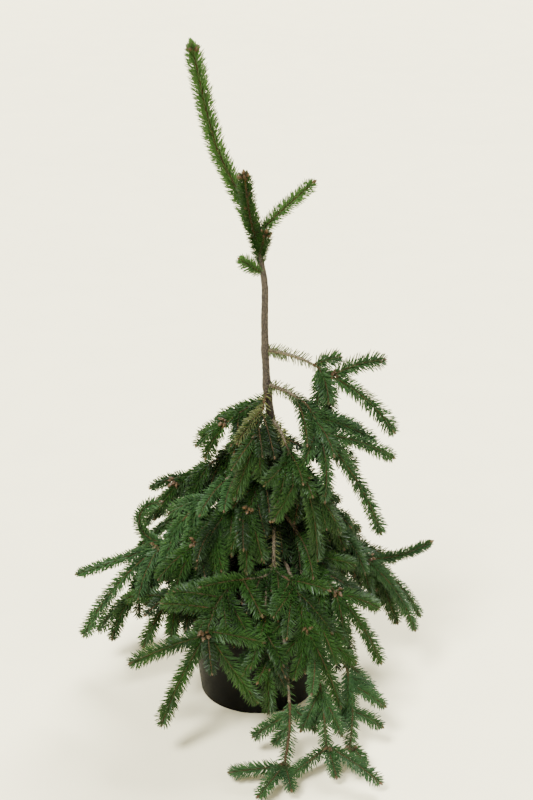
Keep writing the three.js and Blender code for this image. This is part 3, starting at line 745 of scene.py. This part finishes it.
# short close needles on a few thin shoots, by mass and number, and long loose ones on old pale twigs
slim = {"spacing": 0.22, "lean": (62, 30)}
slimShoots = {
    ("left_long", 1): 12.2, ("left_long", 5): 13.4, ("left_mid", 0): 12.2, ("left_mid", 1): 11.0,
    ("left_mid", 2): 11.0, ("right_long", 2): 12.2, ("left_upper", 0): 12.2, ("back_left_mid", 0): 9.0,
    ("back_left_mid", 1): 9.0,
}
sparse = {"needle": 14.5, "spacing": 0.95, "lean": (60, 44), "radius": (1.6, 1.2)}
# added to the number of the bough or mass, so that each has random numbers of its own
seeds = {"boughFill": 500, "boughInner": 700, "mass": 900, "drape": 1300}
endWhorl = {"above": 0.95, "bare": 7}  # shoots this high on the stem leave its end buds bare


def dressBough(name, branch, look):
    curve = boughCurve(branch)
    boughs.append({"name": name, "curve": curve, "branch": branch})
    root = boughSize["twin" if "side" in branch else "root"]
    addAxis(curve, "bough", look["oldTint"], name + "_bough", cover=look["clad"],
            radius=(root, boughSize["tip"]))
    node = (name if "end" in branch else "front_left") + "_foliage"
    thickness, number = look["fill"][0], len(boughs)
    # the green of the bough's fill; right_hanging's is mid, so that every other filler there gets painted shade
    under = look.get("under", look["tint"])
    addHanging("fill", curve, thickness, under, node, randomSeries(seeds["boughFill"] + number))
    if thickness > leastInner and look["inner"]:
        # inner shoots are all in the shade green: painted shade inside the crown
        addHanging("inner", curve, thickness, "shade", node, randomSeries(seeds["boughInner"] + number))


def dressShoot(name, number, shoot, curve, look, node):
    if shoot["at"] < look["low"]:
        return addAxis(curve, "shoot", look["oldTint"], node, **sparse)
    changes = {"needle": axisKinds["shoot"]["needle"] * look["reach"]}
    if (name, number) in slimShoots:
        changes = {**slim, "needle": slimShoots[name, number]}
    if shoot["at"] > endWhorl["above"]:
        changes["bare"] = endWhorl["bare"]
    return addAxis(curve, "shoot", look["tint"], node, **changes)


def dressMass(name, branch, look, massNumber):
    node, stem, tint = name + "_foliage", stemCurve(branch), look["tint"]
    mesh = frame["nodes"][node].data
    surface = BVHTree.FromPolygons([v.co for v in mesh.vertices], [p.vertices[:] for p in mesh.polygons])
    old = look["low"] > 0
    grown = [addAxis(stem, "stem", look["oldTint"] if old else tint, node, **(sparse if old else look["stem"]))]
    series = randomSeries(seeds["mass"] + massNumber)
    for number, shoot in enumerate(shootsOf(branch, stem, massNumber)):
        curve = placedShoot(surface, stem, shoot)
        if curve is None:
            continue
        made = dressShoot(name, number, shoot, curve, look, node)
        if made["length"] > sprigRule["parent"] and shoot["at"] < sprigRule["lowest"]:
            grown.append(made)
    for parent in grown if look["sprigs"] else ():
        addSprigs(parent, series, node)
    addHanging("fill", stem, look["fill"][1], tint, node, series)
    addHanging("drape", stem, look["drape"], tint, node, randomSeries(seeds["drape"] + massNumber))


boughs = []
massNumber = 0
for name, branch in branches.items():
    look = {**usualLook, **massLooks.get(name, backLook)}
    if branch["tip"]:
        dressBough(name, branch, look)
    if "end" in branch:
        massNumber += 1
        dressMass(name, branch, look, massNumber)

crownLooks = {
    "leader_shoot": {"tint": "young", "endSize": 0.6, "lean": (52, 24), "needle": 18.5},
    "bud_shoot": {"tint": "light", "radius": (2.8, 2.4), "lean": (60, 42), "needle": 14.5},
    "right_shoot": {"tint": "young", "radius": (1.9, 1.4), "lean": (58, 34), "needle": 15.0, "spacing": 0.19},
    "front_tuft": {"tint": "light", "radius": (2.4, 1.8), "lean": (58, 36), "needle": 14.0},
    "left_tuft": {"tint": "young", "radius": (1.6, 1.2), "lean": (60, 34), "needle": 15.0},
}
for name, item in crown.items():
    curve = smoothThrough([trunkAt(item["root"])[0], *item["through"]])
    look = dict(crownLooks[name])
    made = addAxis(curve, "leader", look.pop("tint"), name, **look)
    if name == "leader_shoot":
        leader = made
# needles round the fork, and the brush that stands over the leading shoot's end buds
forkHeights = (722, 735, 754, 771)
forkNeedles = {"radius": (4.4, 3.6), "lean": (58, 46), "needle": 13.0, "cover": (0.7, 1), "bud": False}
brushSize = {"from": 0.985, "length": 15}
brushNeedles = {"radius": (2.2, 1.2), "lean": (26, 8), "needle": 12.5, "girth": 0.9, "bud": False}
forkCurve = smoothThrough([trunkAt(height)[0] for height in forkHeights])
addAxis(forkCurve, "leader", "soft", "front_tuft", **forkNeedles)
foot, ahead = leader["curve"](brushSize["from"]), tangent(leader["curve"], 1) * brushSize["length"]
addAxis(lambda t: foot + ahead * t, "leader", "young", "leader_shoot", **brushNeedles)
print(len(axes), "axes,", round(sum(axis["length"] for axis in axes)), "mm in all")


# geometry trees

fullTurn = 6.283


def alignTo(tree, aim, axis, rotation=None, **settings):
    feeds = {"Vector": aim} if rotation is None else {"Vector": aim, "Rotation": rotation}
    return addNode(tree, "FunctionNodeAlignRotationToVector", feeds, axis=axis, **settings)


def attribute(tree, name, dataType="FLOAT"):
    return addNode(tree, "GeometryNodeInputNamedAttribute", {"Name": name}, data_type=dataType)


def randomBetween(tree, low, high, seed, step=0):
    if step:
        seed = maths(tree, "ADD", seed, float(step))
    return addNode(tree, "FunctionNodeRandomValue", {"Min": low, "Max": high, "Seed": seed}, data_type="FLOAT")


def dressed(tree, geometry, material):
    real = addNode(tree, "GeometryNodeRealizeInstances", {"Geometry": geometry})
    return addNode(tree, "GeometryNodeSetMaterial", {"Geometry": real, "Material": material})


def copies(tree, given, points, rotation, scale, chosen=True):
    # stands the shape on each chosen point, as real faces in one material
    shape = addNode(tree, "GeometryNodeObjectInfo", {"Object": given("Shape")}, "Geometry")
    placed = addNode(tree, "GeometryNodeInstanceOnPoints", {
        "Points": points, "Selection": chosen, "Instance": shape, "Rotation": rotation, "Scale": scale,
    })
    return dressed(tree, placed, given("Finish"))


# width of the plates' edges, scale and height of the lumps against the plates, and the level kept
knobs = {"edge": 0.22, "lumpScale": 0.3, "lumps": 2.4, "level": 1.9}


def limbTree():
    # skins the edges of a mesh as round limbs with knobbly bark
    tree, given, close = newTree("limbs", "GeometryNodeTree", {
        "Geometry": "Geometry", "Step": 0.002, "Sides": 12, "Relief": 0.0004, "Scale": 220.0, "Stretch": 0.4,
        "Finish": "Material",
    }, {"Geometry": "Geometry"})
    lines = addNode(tree, "GeometryNodeMeshToCurve", {"Mesh": given("Geometry")})
    even = addNode(tree, "GeometryNodeResampleCurve", {"Curve": lines, "Length": given("Step")}, mode="LENGTH")
    circle = addNode(tree, "GeometryNodeCurvePrimitiveCircle", {
        "Resolution": given("Sides"), "Radius": 1.0,
    }, mode="RADIUS")
    skin = addNode(tree, "GeometryNodeCurveToMesh", {
        "Curve": even, "Profile Curve": circle, "Scale": attribute(tree, "thickness"), "Fill Caps": True,
    })
    place = addNode(tree, "GeometryNodeInputPosition")
    cells = plates(tree, place, given("Scale"), given("Stretch"))[0]
    plate = addNode(tree, "ShaderNodeMapRange", {"Value": cells, 1: 0.0, 2: knobs["edge"]})
    lumps = noise(tree, place, maths(tree, "MULTIPLY", given("Scale"), knobs["lumpScale"]), 2.0)
    high = maths(tree, "ADD", plate, maths(tree, "MULTIPLY", lumps, knobs["lumps"]))
    rise = maths(tree, "MULTIPLY", maths(tree, "SUBTRACT", high, knobs["level"]), given("Relief"))
    normal = addNode(tree, "GeometryNodeInputNormal")
    rough = addNode(tree, "GeometryNodeSetPosition", {
        "Geometry": skin, "Offset": vectorMaths(tree, "SCALE", normal, rise),
    })
    smooth = addNode(tree, "GeometryNodeSetShadeSmooth", {"Geometry": rough, "Shade Smooth": True})
    return close(dressed(tree, smooth, given("Finish")))


# how far a needle strays round the spiral, its shortest and longest share of the full length, and where its
# foot stands between the middle of the twig and its bark
needleSpread = {"round": 0.2, "size": (0.78, 1.12), "stand": 0.75}


def needleTree():
    # sets needles in a spiral along the edges of a mesh, thinner on the side that faces outwards
    tree, given, close = newTree("needles", "GeometryNodeTree", {
        "Geometry": "Geometry", "Shape": "Object", "Spiral": 2.39996, "Scatter": 0.15, "Floor": 0.0006,
        "Seed": 1, "Finish": "Material",
    }, {"Geometry": "Geometry"})

    def around(first, second, angle):
        # the direction that is turned by an angle from the first one to the second
        return vectorMaths(tree, "ADD", vectorMaths(tree, "SCALE", first, maths(tree, "COSINE", angle)),
                           vectorMaths(tree, "SCALE", second, maths(tree, "SINE", angle)))

    seed, stray = given("Seed"), needleSpread["round"]
    lines = addNode(tree, "GeometryNodeMeshToCurve", {"Mesh": given("Geometry")})
    dots = addNode(tree, "GeometryNodeCurveToPoints", {
        "Curve": lines, "Length": attribute(tree, "spacing"),
    }, mode="LENGTH")
    along = dots.node.outputs["Tangent"]
    across = vectorMaths(tree, "CROSS_PRODUCT", along, attribute(tree, "outward", "FLOAT_VECTOR"))
    side = addNode(tree, "ShaderNodeVectorMath", {0: across}, operation="NORMALIZE")
    face = vectorMaths(tree, "CROSS_PRODUCT", side, along)
    spiral = maths(tree, "MULTIPLY", addNode(tree, "GeometryNodeInputIndex"), given("Spiral"))
    spin = maths(tree, "ADD", spiral, randomBetween(tree, -stray, stray, seed))
    parting = maths(tree, "MULTIPLY", maths(tree, "SINE", spin), attribute(tree, "parting"))
    spoke = around(face, side, maths(tree, "ADD", spin, parting))
    swing = maths(tree, "MULTIPLY", randomBetween(tree, -1.0, 1.0, seed, 1), given("Scatter"))
    aim = around(along, spoke, maths(tree, "ADD", attribute(tree, "lean"), swing))
    share = randomBetween(tree, *needleSpread["size"], seed, 2)
    size = maths(tree, "MULTIPLY", attribute(tree, "needle"), share)
    stand = maths(tree, "MULTIPLY", attribute(tree, "thickness"), needleSpread["stand"])
    feet = addNode(tree, "GeometryNodeSetPosition", {
        "Geometry": dots, "Offset": vectorMaths(tree, "SCALE", spoke, stand),
    })
    place = addNode(tree, "GeometryNodeInputPosition")
    tip = vectorMaths(tree, "ADD", place, vectorMaths(tree, "SCALE", aim, size))
    height = addNode(tree, "ShaderNodeSeparateXYZ", {0: tip}, "Z")
    above = maths(tree, "GREATER_THAN", height, given("Floor"))
    kept = maths(tree, "LESS_THAN", randomBetween(tree, 0.0, 1.0, seed, 3), attribute(tree, "cover"))
    rolled = alignTo(tree, along, "X", alignTo(tree, aim, "Z"), pivot_axis="Z")
    girth = attribute(tree, "girth")
    stretch = addNode(tree, "ShaderNodeCombineXYZ", {0: girth, 1: girth, 2: size})
    return close(copies(tree, given, feet, rolled, stretch, maths(tree, "MULTIPLY", above, kept)))


def studTree():
    # stands a small shape on each point of a mesh, aimed and sized by the point's own values
    tree, given, close = newTree("studs", "GeometryNodeTree", {
        "Geometry": "Geometry", "Shape": "Object", "Seed": 1, "Finish": "Material",
    }, {"Geometry": "Geometry"})
    turn = addNode(tree, "ShaderNodeCombineXYZ", {2: randomBetween(tree, 0.0, fullTurn, given("Seed"))})
    spun = addNode(tree, "FunctionNodeRotateRotation", {
        "Rotation": alignTo(tree, attribute(tree, "aim", "FLOAT_VECTOR"), "Z"), "Rotate By": turn,
    }, rotation_space="LOCAL")
    return close(copies(tree, given, given("Geometry"), spun, attribute(tree, "size")))


def crumbTree():
    # scatters a small shape over a surface, each copy turned and sized at random
    tree, given, close = newTree("crumbs", "GeometryNodeTree", {
        "Geometry": "Geometry", "Shape": "Object", "Density": 60000.0, "Smallest": 0.001, "Largest": 0.004,
        "Tumble": 3.1, "Seed": 1, "Finish": "Material",
    }, {"Geometry": "Geometry"})
    seed, tumble = given("Seed"), given("Tumble")
    dots = addNode(tree, "GeometryNodeDistributePointsOnFaces", {
        "Mesh": given("Geometry"), "Density": given("Density"), "Seed": seed,
    }, distribute_method="RANDOM")
    less = maths(tree, "MULTIPLY", tumble, -1.0)
    turn = addNode(tree, "ShaderNodeCombineXYZ", {
        0: randomBetween(tree, less, tumble, seed), 1: randomBetween(tree, less, tumble, seed, 1),
        2: randomBetween(tree, 0.0, fullTurn, seed, 2),
    })
    size = randomBetween(tree, given("Smallest"), given("Largest"), seed, 3)
    return close(copies(tree, given, dots, turn, size))


limbs, needles, studs, crumbs = limbTree(), needleTree(), studTree(), crumbTree()


def strandMesh(name, strands):
    # rows of points joined as edges; each point comes with the values that the trees read there
    points, edges, layers = [], [], {}
    for strand in strands:
        for i, (point, values) in enumerate(strand):
            if i:
                edges.append((len(points) - 1, len(points)))
            points.append(point * mm)
            for label, value in values.items():
                layers.setdefault(label, []).append(value)
    return meshObject(name, points, edges, attributes=layers)


# needles grow to full length over the first part of an axis and get shorter and lean less at its end
strandSize = {"step": 4.0, "least": 4, "footSize": 0.72, "footEnd": 14, "tipStart": 10, "leanStart": 13,
              "leanCurve": 1.2}


def axisStrand(axis):
    s = strandSize
    count = max(s["least"], int(axis["length"] / s["step"]))
    for i in range(count + 1):
        t = i / count
        point, along = axis["curve"](t), tangent(axis["curve"], t)
        past, left = t * axis["length"], (1 - t) * axis["length"]
        foot = min(1, s["footSize"] + (1 - s["footSize"]) * past / s["footEnd"])
        tip = min(1, axis["endSize"] + (1 - axis["endSize"]) * left / s["tipStart"])
        leaning = mix(*axis["lean"], max(0, 1 - left / s["leanStart"]) ** s["leanCurve"])
        yield point, {
            "thickness": mix(*axis["radius"], t) * mm, "needle": axis["needle"] * (foot * tip) * mm,
            "girth": axis["girth"], "spacing": axis["spacing"] * mm, "lean": math.radians(leaning),
            "cover": mix(*axis["cover"], t) * (past >= axis["bare"]), "parting": axis["parting"],
            "outward": outwardFrom(point, along),
        }


# the two colours of each green; they are dealt out by spray
greens = {
    # shade is painted shade: a darker green for the inner shoots and every other filler
    "shade": ((0.0092, 0.0250, 0.0050), (0.0039, 0.0118, 0.0027)),
    "deep": ((0.0198, 0.0545, 0.0094), (0.0066, 0.0200, 0.0041)),
    "mid": ((0.0185, 0.051, 0.0084), (0.0064, 0.0195, 0.0038)),
    "light": ((0.0200, 0.057, 0.0086), (0.0070, 0.0220, 0.0040)),
    "soft": ((0.0275, 0.067, 0.0180), (0.0098, 0.0275, 0.0090)),
    "pale": ((0.0345, 0.0840, 0.0230), (0.0125, 0.0350, 0.0118)),
    "faded": ((0.068, 0.088, 0.028), (0.026, 0.042, 0.012)),
    "olive": ((0.110, 0.118, 0.038), (0.044, 0.057, 0.016)),
    "young": ((0.073, 0.150, 0.036), (0.027, 0.072, 0.0160)),
}
# half widths of a needle at its foot and shoulder and its depth, and how far up the shoulder is
needleSize = {"width": 0.74, "shoulder": 0.64, "depth": 0.85, "taper": 0.78, "roughness": (0.42, 0.56),
              "shine": 0.2}
mostTriangles = 190000

# a keeled needle of six faces: a foot edge, a shoulder edge and the tip
wide, narrow, deep = (needleSize[label] * mm for label in ("width", "shoulder", "depth"))
taper = needleSize["taper"]
needleShape = meshObject("needle_shape", [
    (-wide, 0, 0), (wide, 0, 0), (-narrow, deep, taper), (narrow, deep, taper), (0, 0, 1),
], faces=[(1, 0, 2), (1, 2, 3), (3, 2, 4), (0, 4, 2), (1, 3, 4), (0, 1, 4)])

order = 0
for tint, (first, second) in greens.items():
    material = newMaterial("needles_" + tint, mottle, {
        "First": first, "Second": second, "Coarse": 22.0, "Fine": 620.0,
    }, needleSize["roughness"], shine=needleSize["shine"])
    chosen = [axis for axis in axes if axis["tint"] == tint and max(axis["cover"]) > 0]
    total = sum(axis["length"] * sum(axis["cover"]) / 2 / axis["spacing"] for axis in chosen) * 6
    parts = max(1, math.ceil(total / mostTriangles))
    share = math.ceil(len(chosen) / parts)
    for part in range(parts):
        group = chosen[part * share:(part + 1) * share]
        order += 1
        source = strandMesh("needle_axes", map(axisStrand, group))
        clad = sorted({axis["node"] for axis in group if axis["kind"] != "bough"})
        growPiece(f"needles_{tint}_{part + 1}" if parts > 1 else "needles_" + tint, source, needles, {
            "Shape": needleShape, "Seed": 10 * order, "Finish": material,
        }, clad)
        discard(source)
discard(needleShape)
print("needles made")


# twigs: the axes of the masses and of the crown
twigSize = {"step": 6.0, "sides": 5, "relief": 0.12, "scale": 700.0, "stretch": 1.0}
twigBark = newMaterial("twig_bark", mottle, {
    "First": (0.024, 0.0122, 0.0054), "Second": (0.067, 0.037, 0.0145), "Coarse": 45.0, "Fine": 900.0,
}, (0.7, 0.9), bump=(0.4, 0.0003), shine=0.25)


def growLimbs(name, strands, size, bark, nodes):
    source = strandMesh(name + "_axes", strands)
    growPiece(name, source, limbs, {
        "Step": size["step"] * mm, "Sides": size["sides"], "Relief": size["relief"] * mm,
        "Scale": size["scale"], "Stretch": size["stretch"], "Finish": bark,
    }, nodes)
    discard(source)


clad = [axis for axis in axes if axis["kind"] != "bough"]
growLimbs("twigs", map(axisStrand, clad), twigSize, twigBark, sorted({axis["node"] for axis in clad}))

# boughs, each with a collar at the trunk
boughRelief = {"step": 2.2, "sides": 11, "relief": 0.28, "scale": 420.0, "stretch": 1.0}
boughBark = newMaterial("bough_bark", scalyBark, {
    "Plate": (0.088, 0.064, 0.034), "Crack": (0.024, 0.016, 0.009), "Lichen": (0.140, 0.112, 0.068),
    "Scale": 420.0, "Stretch": 1.0, "Lichen Share": 0.35,
}, (0.9, 0.7), bump=(0.5, 0.0005))


def boughStrand(bough):
    size, branch = boughSize, bough["branch"]
    twin = "side" in branch
    root = size["twin"] - clearance if twin else size["root"]
    tip = branch.get("radius", root if twin else size["tip"])
    for i in range(size["steps"] + 1):
        t = i / size["steps"]
        collar = 0 if twin else (size["collar"] - 1) * math.exp(-((t / size["collarEnd"]) ** 2))
        yield bough["curve"](t), {"thickness": mix(root, tip, t) * (1 + collar) * mm}


growLimbs("boughs", map(boughStrand, boughs), boughRelief, boughBark,
          [bough["name"] + "_bough" for bough in boughs])

# trunk, a little swollen where each bough leaves it
trunkSize = {"steps": 300, "swell": 0.16, "spread": 9, "sides": 44, "step": 1.5, "relief": 0.42, "scale": 210.0,
             "stretch": 0.45}
trunkBark = newMaterial("trunk_bark", scalyBark, {
    "Plate": (0.0225, 0.0140, 0.0074), "Crack": (0.0075, 0.0047, 0.0028), "Lichen": (0.034, 0.0245, 0.0145),
    "Scale": 260.0, "Stretch": 0.5, "Lichen Share": 0.4,
}, (0.92, 0.72), bump=(0.6, 0.0008))
whorls = [branch["root"] for branch in branches.values() if "side" not in branch]


def trunkStrand():
    curve = smoothThrough([(right, back, height) for height, right, back, radius in trunkStations])
    for i in range(trunkSize["steps"] + 1):
        point = curve(i / trunkSize["steps"])
        if point[2] < soilLevel + clearance:
            continue
        height = min(point[2], trunkStations[-1][0])
        swell = sum(math.exp(-((height - root) / trunkSize["spread"]) ** 2) for root in whorls)
        yield point, {"thickness": trunkAt(height)[1] * (1 + trunkSize["swell"] * min(1, swell)) * mm}


growLimbs("trunk_bark", [trunkStrand()], trunkSize, trunkBark, ["trunk"])
print("trunk, boughs and twigs made")


# buds: scales wrapped round a small cone; each scale has two rows of corners and a tip
budSize = {"rows": 4, "scales": 5, "girth": 0.34, "wide": 0.62, "rise": 0.85, "round": (0.35, 0.55),
           "corners": ((0.0, 0.8, 1.0), (0.22, 1.06, 0.9)), "tip": (0.4, 0.95, 0.44), "small": 0.75,
           "length": (5.4, 7.4), "second": 0.55, "third": 0.4, "opening": 0.75}


def budShape():
    b = budSize
    points, faces = [], []

    def corner(share, reach, angle, height):
        girth = b["girth"] * math.sin(math.pi * min(1, b["round"][0] + b["round"][1] * share)) * reach
        points.append((girth * math.cos(angle), girth * math.sin(angle), height))

    for row in range(b["rows"]):
        low = row / b["rows"]
        for k in range(b["scales"]):
            turn = 2 * math.pi * (k + 0.5 * (row % 2)) / b["scales"]
            wide = 2 * math.pi / b["scales"] * b["wide"]
            a = len(points)
            for share, reach, spread in b["corners"]:
                for sign in (-1, 1):
                    corner(low + share, reach, turn + sign * wide * spread, low * b["rise"] + share)
            share, reach, height = b["tip"]
            corner(low + share, reach, turn, min(1, low * b["rise"] + height))
            faces += [(a, a + 1, a + 3), (a, a + 3, a + 2), (a + 2, a + 3, a + 4)]
    return meshObject("bud_shape", points, faces=faces)


budPoints, budAims, budSizes = [], [], []


def addBud(point, aim, size):
    budPoints.append(point * mm)
    budAims.append(unit(aim))
    budSizes.append(size * mm)


# the end bud's size, and from where and how far the others' angle, opening, depth, distance and size go
clusterSpread = {"end": 1.15, "angle": (0, 0.5), "opened": (0.55, 0.5), "back": (1, 5), "apart": (0.6, 0.5),
                 "size": (0.7, 0.4)}


def addCluster(curve, series, count, size, spread, apart=1.2, outside=0):
    point, along = curve(1), tangent(curve, 1)
    point = point + outwardFrom(point, along) * outside
    side = squareTo(along, np.array([0.3, -1.0, 0.2]))
    other = np.cross(along, side)

    def some(label):
        least, span = clusterSpread[label]
        return least + span * next(series)

    addBud(point + along, along, size * clusterSpread["end"])
    for k in range(count - 1):
        angle = 2 * math.pi * (k + some("angle")) / (count - 1)
        spoke = side * math.cos(angle) + other * math.sin(angle)
        opened = spread * some("opened")
        aim = along * math.cos(opened) + spoke * math.sin(opened)
        foot = point - along * some("back") + spoke * apart * some("apart")
        addBud(foot, aim, size * some("size"))


# a bud or a few at the tip of each shoot
series = randomSeries(4242)
for axis in axes:
    if axis["node"] in crown or axis["kind"] in ("bough", "stem", "inner"):
        continue
    count, share = 1, budSize["small"]
    if axis["kind"] == "shoot":
        count, share = 1 + (next(series) < budSize["second"]) + (next(series) < budSize["third"]), 1
    size = mix(*budSize["length"], next(series)) * share
    addCluster(axis["curve"], series, count, size, budSize["opening"])
# clusters where a stem or a crown shoot ends: buds, size, opening, distance apart and outwards
clusters = {
    "front_left_foliage": (12, 8.6, 1.3, 5.6, 7.4), "right_drip_foliage": (12, 8.6, 1.3, 5.6, 7.4),
    "right_hanging_foliage": (12, 8.0, 1.3, 5.6, 8.0), "left_mid_foliage": (12, 8.0, 1.3, 5.6, 8.0),
    "leader_shoot": (7, 10.0, 1.1, 6.5), "bud_shoot": (12, 8.6, 1.0, 6.4), "right_shoot": (1, 7.5, 0.6, 1),
    "front_tuft": (6, 8.2, 1.0, 5.0), "left_tuft": (1, 5.0, 0.6, 1),
}
usualCluster = (9, 7.6, 1.2, 4.4, 6.0)
for axis in axes:
    if axis["kind"] == "stem" or axis["kind"] == "leader" and axis["bud"]:
        addCluster(axis["curve"], series, *clusters.get(axis["node"], usualCluster))
# single buds along the leading shoots
sideBuds = {"counts": {"leader_shoot": 11, "bud_shoot": 6}, "from": 0.12, "span": 0.78, "out": 2.4, "lean": 0.8,
            "size": 8.5}
for axis in axes:
    count = sideBuds["counts"].get(axis["node"], 0) if axis["bud"] else 0
    for k in range(count):
        at = sideBuds["from"] + sideBuds["span"] * (k + 0.6 * next(series)) / count
        point, along = axis["curve"](at), tangent(axis["curve"], at)
        spoke = squareTo(along, direction(360 * next(series), 0))
        addBud(point + spoke * sideBuds["out"], spoke * sideBuds["lean"] + along, sideBuds["size"])
budScales = newMaterial("bud_scales", mottle, {
    "First": (0.032, 0.0170, 0.0060), "Second": (0.094, 0.054, 0.0180), "Coarse": 60.0, "Fine": 500.0,
}, (0.5, 0.7))
bud = budShape()
source = meshObject("bud_points", budPoints, attributes={"aim": budAims, "size": budSizes})
growPiece("buds", source, studs, {"Shape": bud, "Seed": 7, "Finish": budScales})
discard(source, bud)
print("buds made")


# pot: a turned wall with a rolled rim, a rounded foot and drain holes
potSize = {**potOutline, "top": 117, "rimBand": 12, "wall": 2, "floor": 3, "foot": 4, "lip": 1.2, "sides": 144,
           "bands": 9, "ledge": 1}
# the step under the rim: outwards and upwards from the top of the wall, then from the rim
potStep = {"wall": ((0, -0.4), (0.5, 0)), "rim": ((-0.6, 0.3), (-0.1, 1.0), (0, 2.0))}
drainSize = {"count": 8, "radius": 7, "ring": 66, "sides": 20, "from": -6, "to": 9}


def potProfile():
    p = potSize
    band, inner = p["height"] - p["rimBand"], p["top"] - p["wall"]
    lipHeight = p["height"] - p["lip"]
    profile = [(0, 0), (p["base"] - p["foot"], 0)]
    profile += arc((p["base"] - p["foot"], p["foot"]), p["foot"], -75, 0)
    for i in range(1, p["bands"]):
        share = i / p["bands"]
        profile.append((mix(p["base"], p["top"], share), mix(p["foot"], band, share)))
    for edge in ("wall", "rim"):
        reach = p["top" if edge == "wall" else "rim"]
        profile += [(reach + out, band + rise) for out, rise in potStep[edge]]
    profile += arc((p["rim"] - p["lip"], lipHeight), p["lip"], 0, 90)
    profile += arc((inner + p["lip"], lipHeight), p["lip"], 90, 180)
    return profile + [(inner - p["ledge"], band), (p["base"] - p["wall"], p["floor"]), (0, p["floor"])]


plastic = newMaterial("pot_plastic", mottle, {
    "First": (0.0012, 0.0013, 0.0014), "Second": (0.0032, 0.0034, 0.0034), "Coarse": 9.0, "Fine": 260.0,
    "Contrast": 1.9, "Share": 0.35,
}, (0.45, 0.62), bump=(0.05, 0.0002), shine=0.05)
pot = turned("nursery_pot", potProfile(), potSize["sides"])
drills = []
for i in range(drainSize["count"]):
    radius, low, high = drainSize["radius"], drainSize["from"], drainSize["to"]
    drill = turned("drill", [(0, low), (radius, low), (radius, high), (0, high)], drainSize["sides"])
    aside = polar(360 * i / drainSize["count"], drainSize["ring"], 0) * mm
    for vertex in drill.data.vertices:
        vertex.co = [a + b for a, b in zip(vertex.co, aside)]
    cut = pot.modifiers.new("drain", "BOOLEAN")
    cut.object = drill
    cut.solver = "EXACT"
    drills.append(drill)
drained = evaluated(pot)
pot.modifiers.clear()
pot.data = drained
discard(*drills)
coat(pot, plastic)
finishPiece(pot, ["pot"])


# soil: a crumbly top, with crumbs, bark bits and dropped needles on it
soilSize = {"rings": 56, "around": 168, "dish": 3.0, "gap": 0.6, "rough": 0.77, "seed": 31, "middle": 0.5,
            "highest": 4, "foot": 6, "base": 3.3, "waves": 14, "wave": 0.35, "pace": 3,
            "spans": ((0.02, 0.09), (0, 6.3), (0, 6.3)), "smooth": 8}


def soilReach(height):
    p = potSize
    share = (height - p["floor"]) / (p["height"] - p["rimBand"] - p["floor"])
    return mix(p["base"] - p["wall"], p["top"] - p["wall"] - p["ledge"], share) - soilSize["gap"]


def soilMesh():
    s = soilSize
    random = np.random.default_rng(s["seed"])
    waves = [[random.uniform(*span) for span in s["spans"]] for _ in range(s["waves"])]
    rings, around = s["rings"], s["around"]
    points = []
    for i in range(rings + 1):
        share = i / rings
        reach = max(s["middle"], share * soilReach(soilLevel - s["dish"]))
        for k in range(around):
            angle = 2 * math.pi * k / around
            x, y = reach * math.cos(angle), reach * math.sin(angle)
            swells = (math.sin(pace * (x * math.cos(way) + y * math.sin(way)) * s["pace"] + phase)
                      for pace, way, phase in waves)
            height = soilLevel - s["dish"] * share ** 2 + s["wave"] * sum(swells)
            height += random.normal() * s["rough"] * min(1, share * s["smooth"])
            points.append((x * mm, y * mm, min(height, soilLevel + s["highest"]) * mm))
    points += ring(soilReach(s["foot"]), s["base"], around)
    faces = []
    for i in range(rings + 1):
        for k in range(around):
            low, high, n = i * around, (i + 1) * around, (k + 1) % around
            faces.append((low + k, high + k, high + n, low + n))
    faces.append(tuple(range(around)))
    faces.append(tuple(reversed(range((rings + 1) * around, (rings + 2) * around))))
    return meshObject("potting_soil", points, faces=faces)


peat = newMaterial("peat", mottle, {
    "First": (0.020, 0.012, 0.007), "Second": (0.075, 0.048, 0.028), "Coarse": 120.0, "Fine": 900.0,
    "Contrast": 2.2, "Share": 0.4,
}, (0.85, 0.98), bump=(0.8, 0.0015))
chipFinish = newMaterial("bark_chip", mottle, {
    "First": (0.12, 0.065, 0.032), "Second": (0.26, 0.17, 0.09), "Coarse": 90.0, "Fine": 700.0,
}, (0.8, 0.95))
droppedFinish = newMaterial("dropped_needle", mottle, {
    "First": (0.26, 0.15, 0.06), "Second": (0.16, 0.14, 0.05), "Coarse": 80.0, "Fine": 300.0,
}, (0.6, 0.8))
soil = soilMesh()
coat(soil, peat)
finishPiece(soil, ["soil"])


def lump(name, stretch, rough, seed):
    random = np.random.default_rng(seed)
    mesh = bpy.data.meshes.new(name)
    shape = bmesh.new()
    bmesh.ops.create_icosphere(shape, subdivisions=1, radius=0.5)
    for vertex in shape.verts:
        vertex.co = Vector([c * s * (1 + rough * random.normal()) for c, s in zip(vertex.co, stretch)])
    shape.to_mesh(mesh)
    shape.free()
    return addObject(name, mesh)


# each kind's shape (stretch, roughness, seed), copies per square metre, sizes, tumble, seed and finish
litter = {
    "soil_crumbs": (((1, 0.8, 0.7), 0.16, 3), 46000.0, (1.6, 5.2), 3.1, 5, peat),
    "soil_chips": (((1.6, 0.5, 0.22), 0.12, 8), 5200.0, (3.0, 9.0), 0.5, 15, chipFinish),
    "dropped_needles": (((1.0, 0.07, 0.05), 0.02, 4), 9000.0, (9, 14), 0.22, 25, droppedFinish),
}
litterPlane = {"reach": 111, "below": 1.2, "sides": 48}
rim = ring(litterPlane["reach"], soilLevel - litterPlane["below"], litterPlane["sides"])
soilTop = meshObject("soil_top", rim, faces=[tuple(range(litterPlane["sides"]))])
for name, (shape, density, sizes, tumble, seed, finish) in litter.items():
    grain = lump("grain", *shape)
    growPiece(name, soilTop, crumbs, {
        "Shape": grain, "Density": density, "Smallest": sizes[0] * mm, "Largest": sizes[1] * mm,
        "Tumble": tumble, "Seed": seed, "Finish": finish,
    })
    discard(grain)
discard(soilTop)
print("pot and soil made")
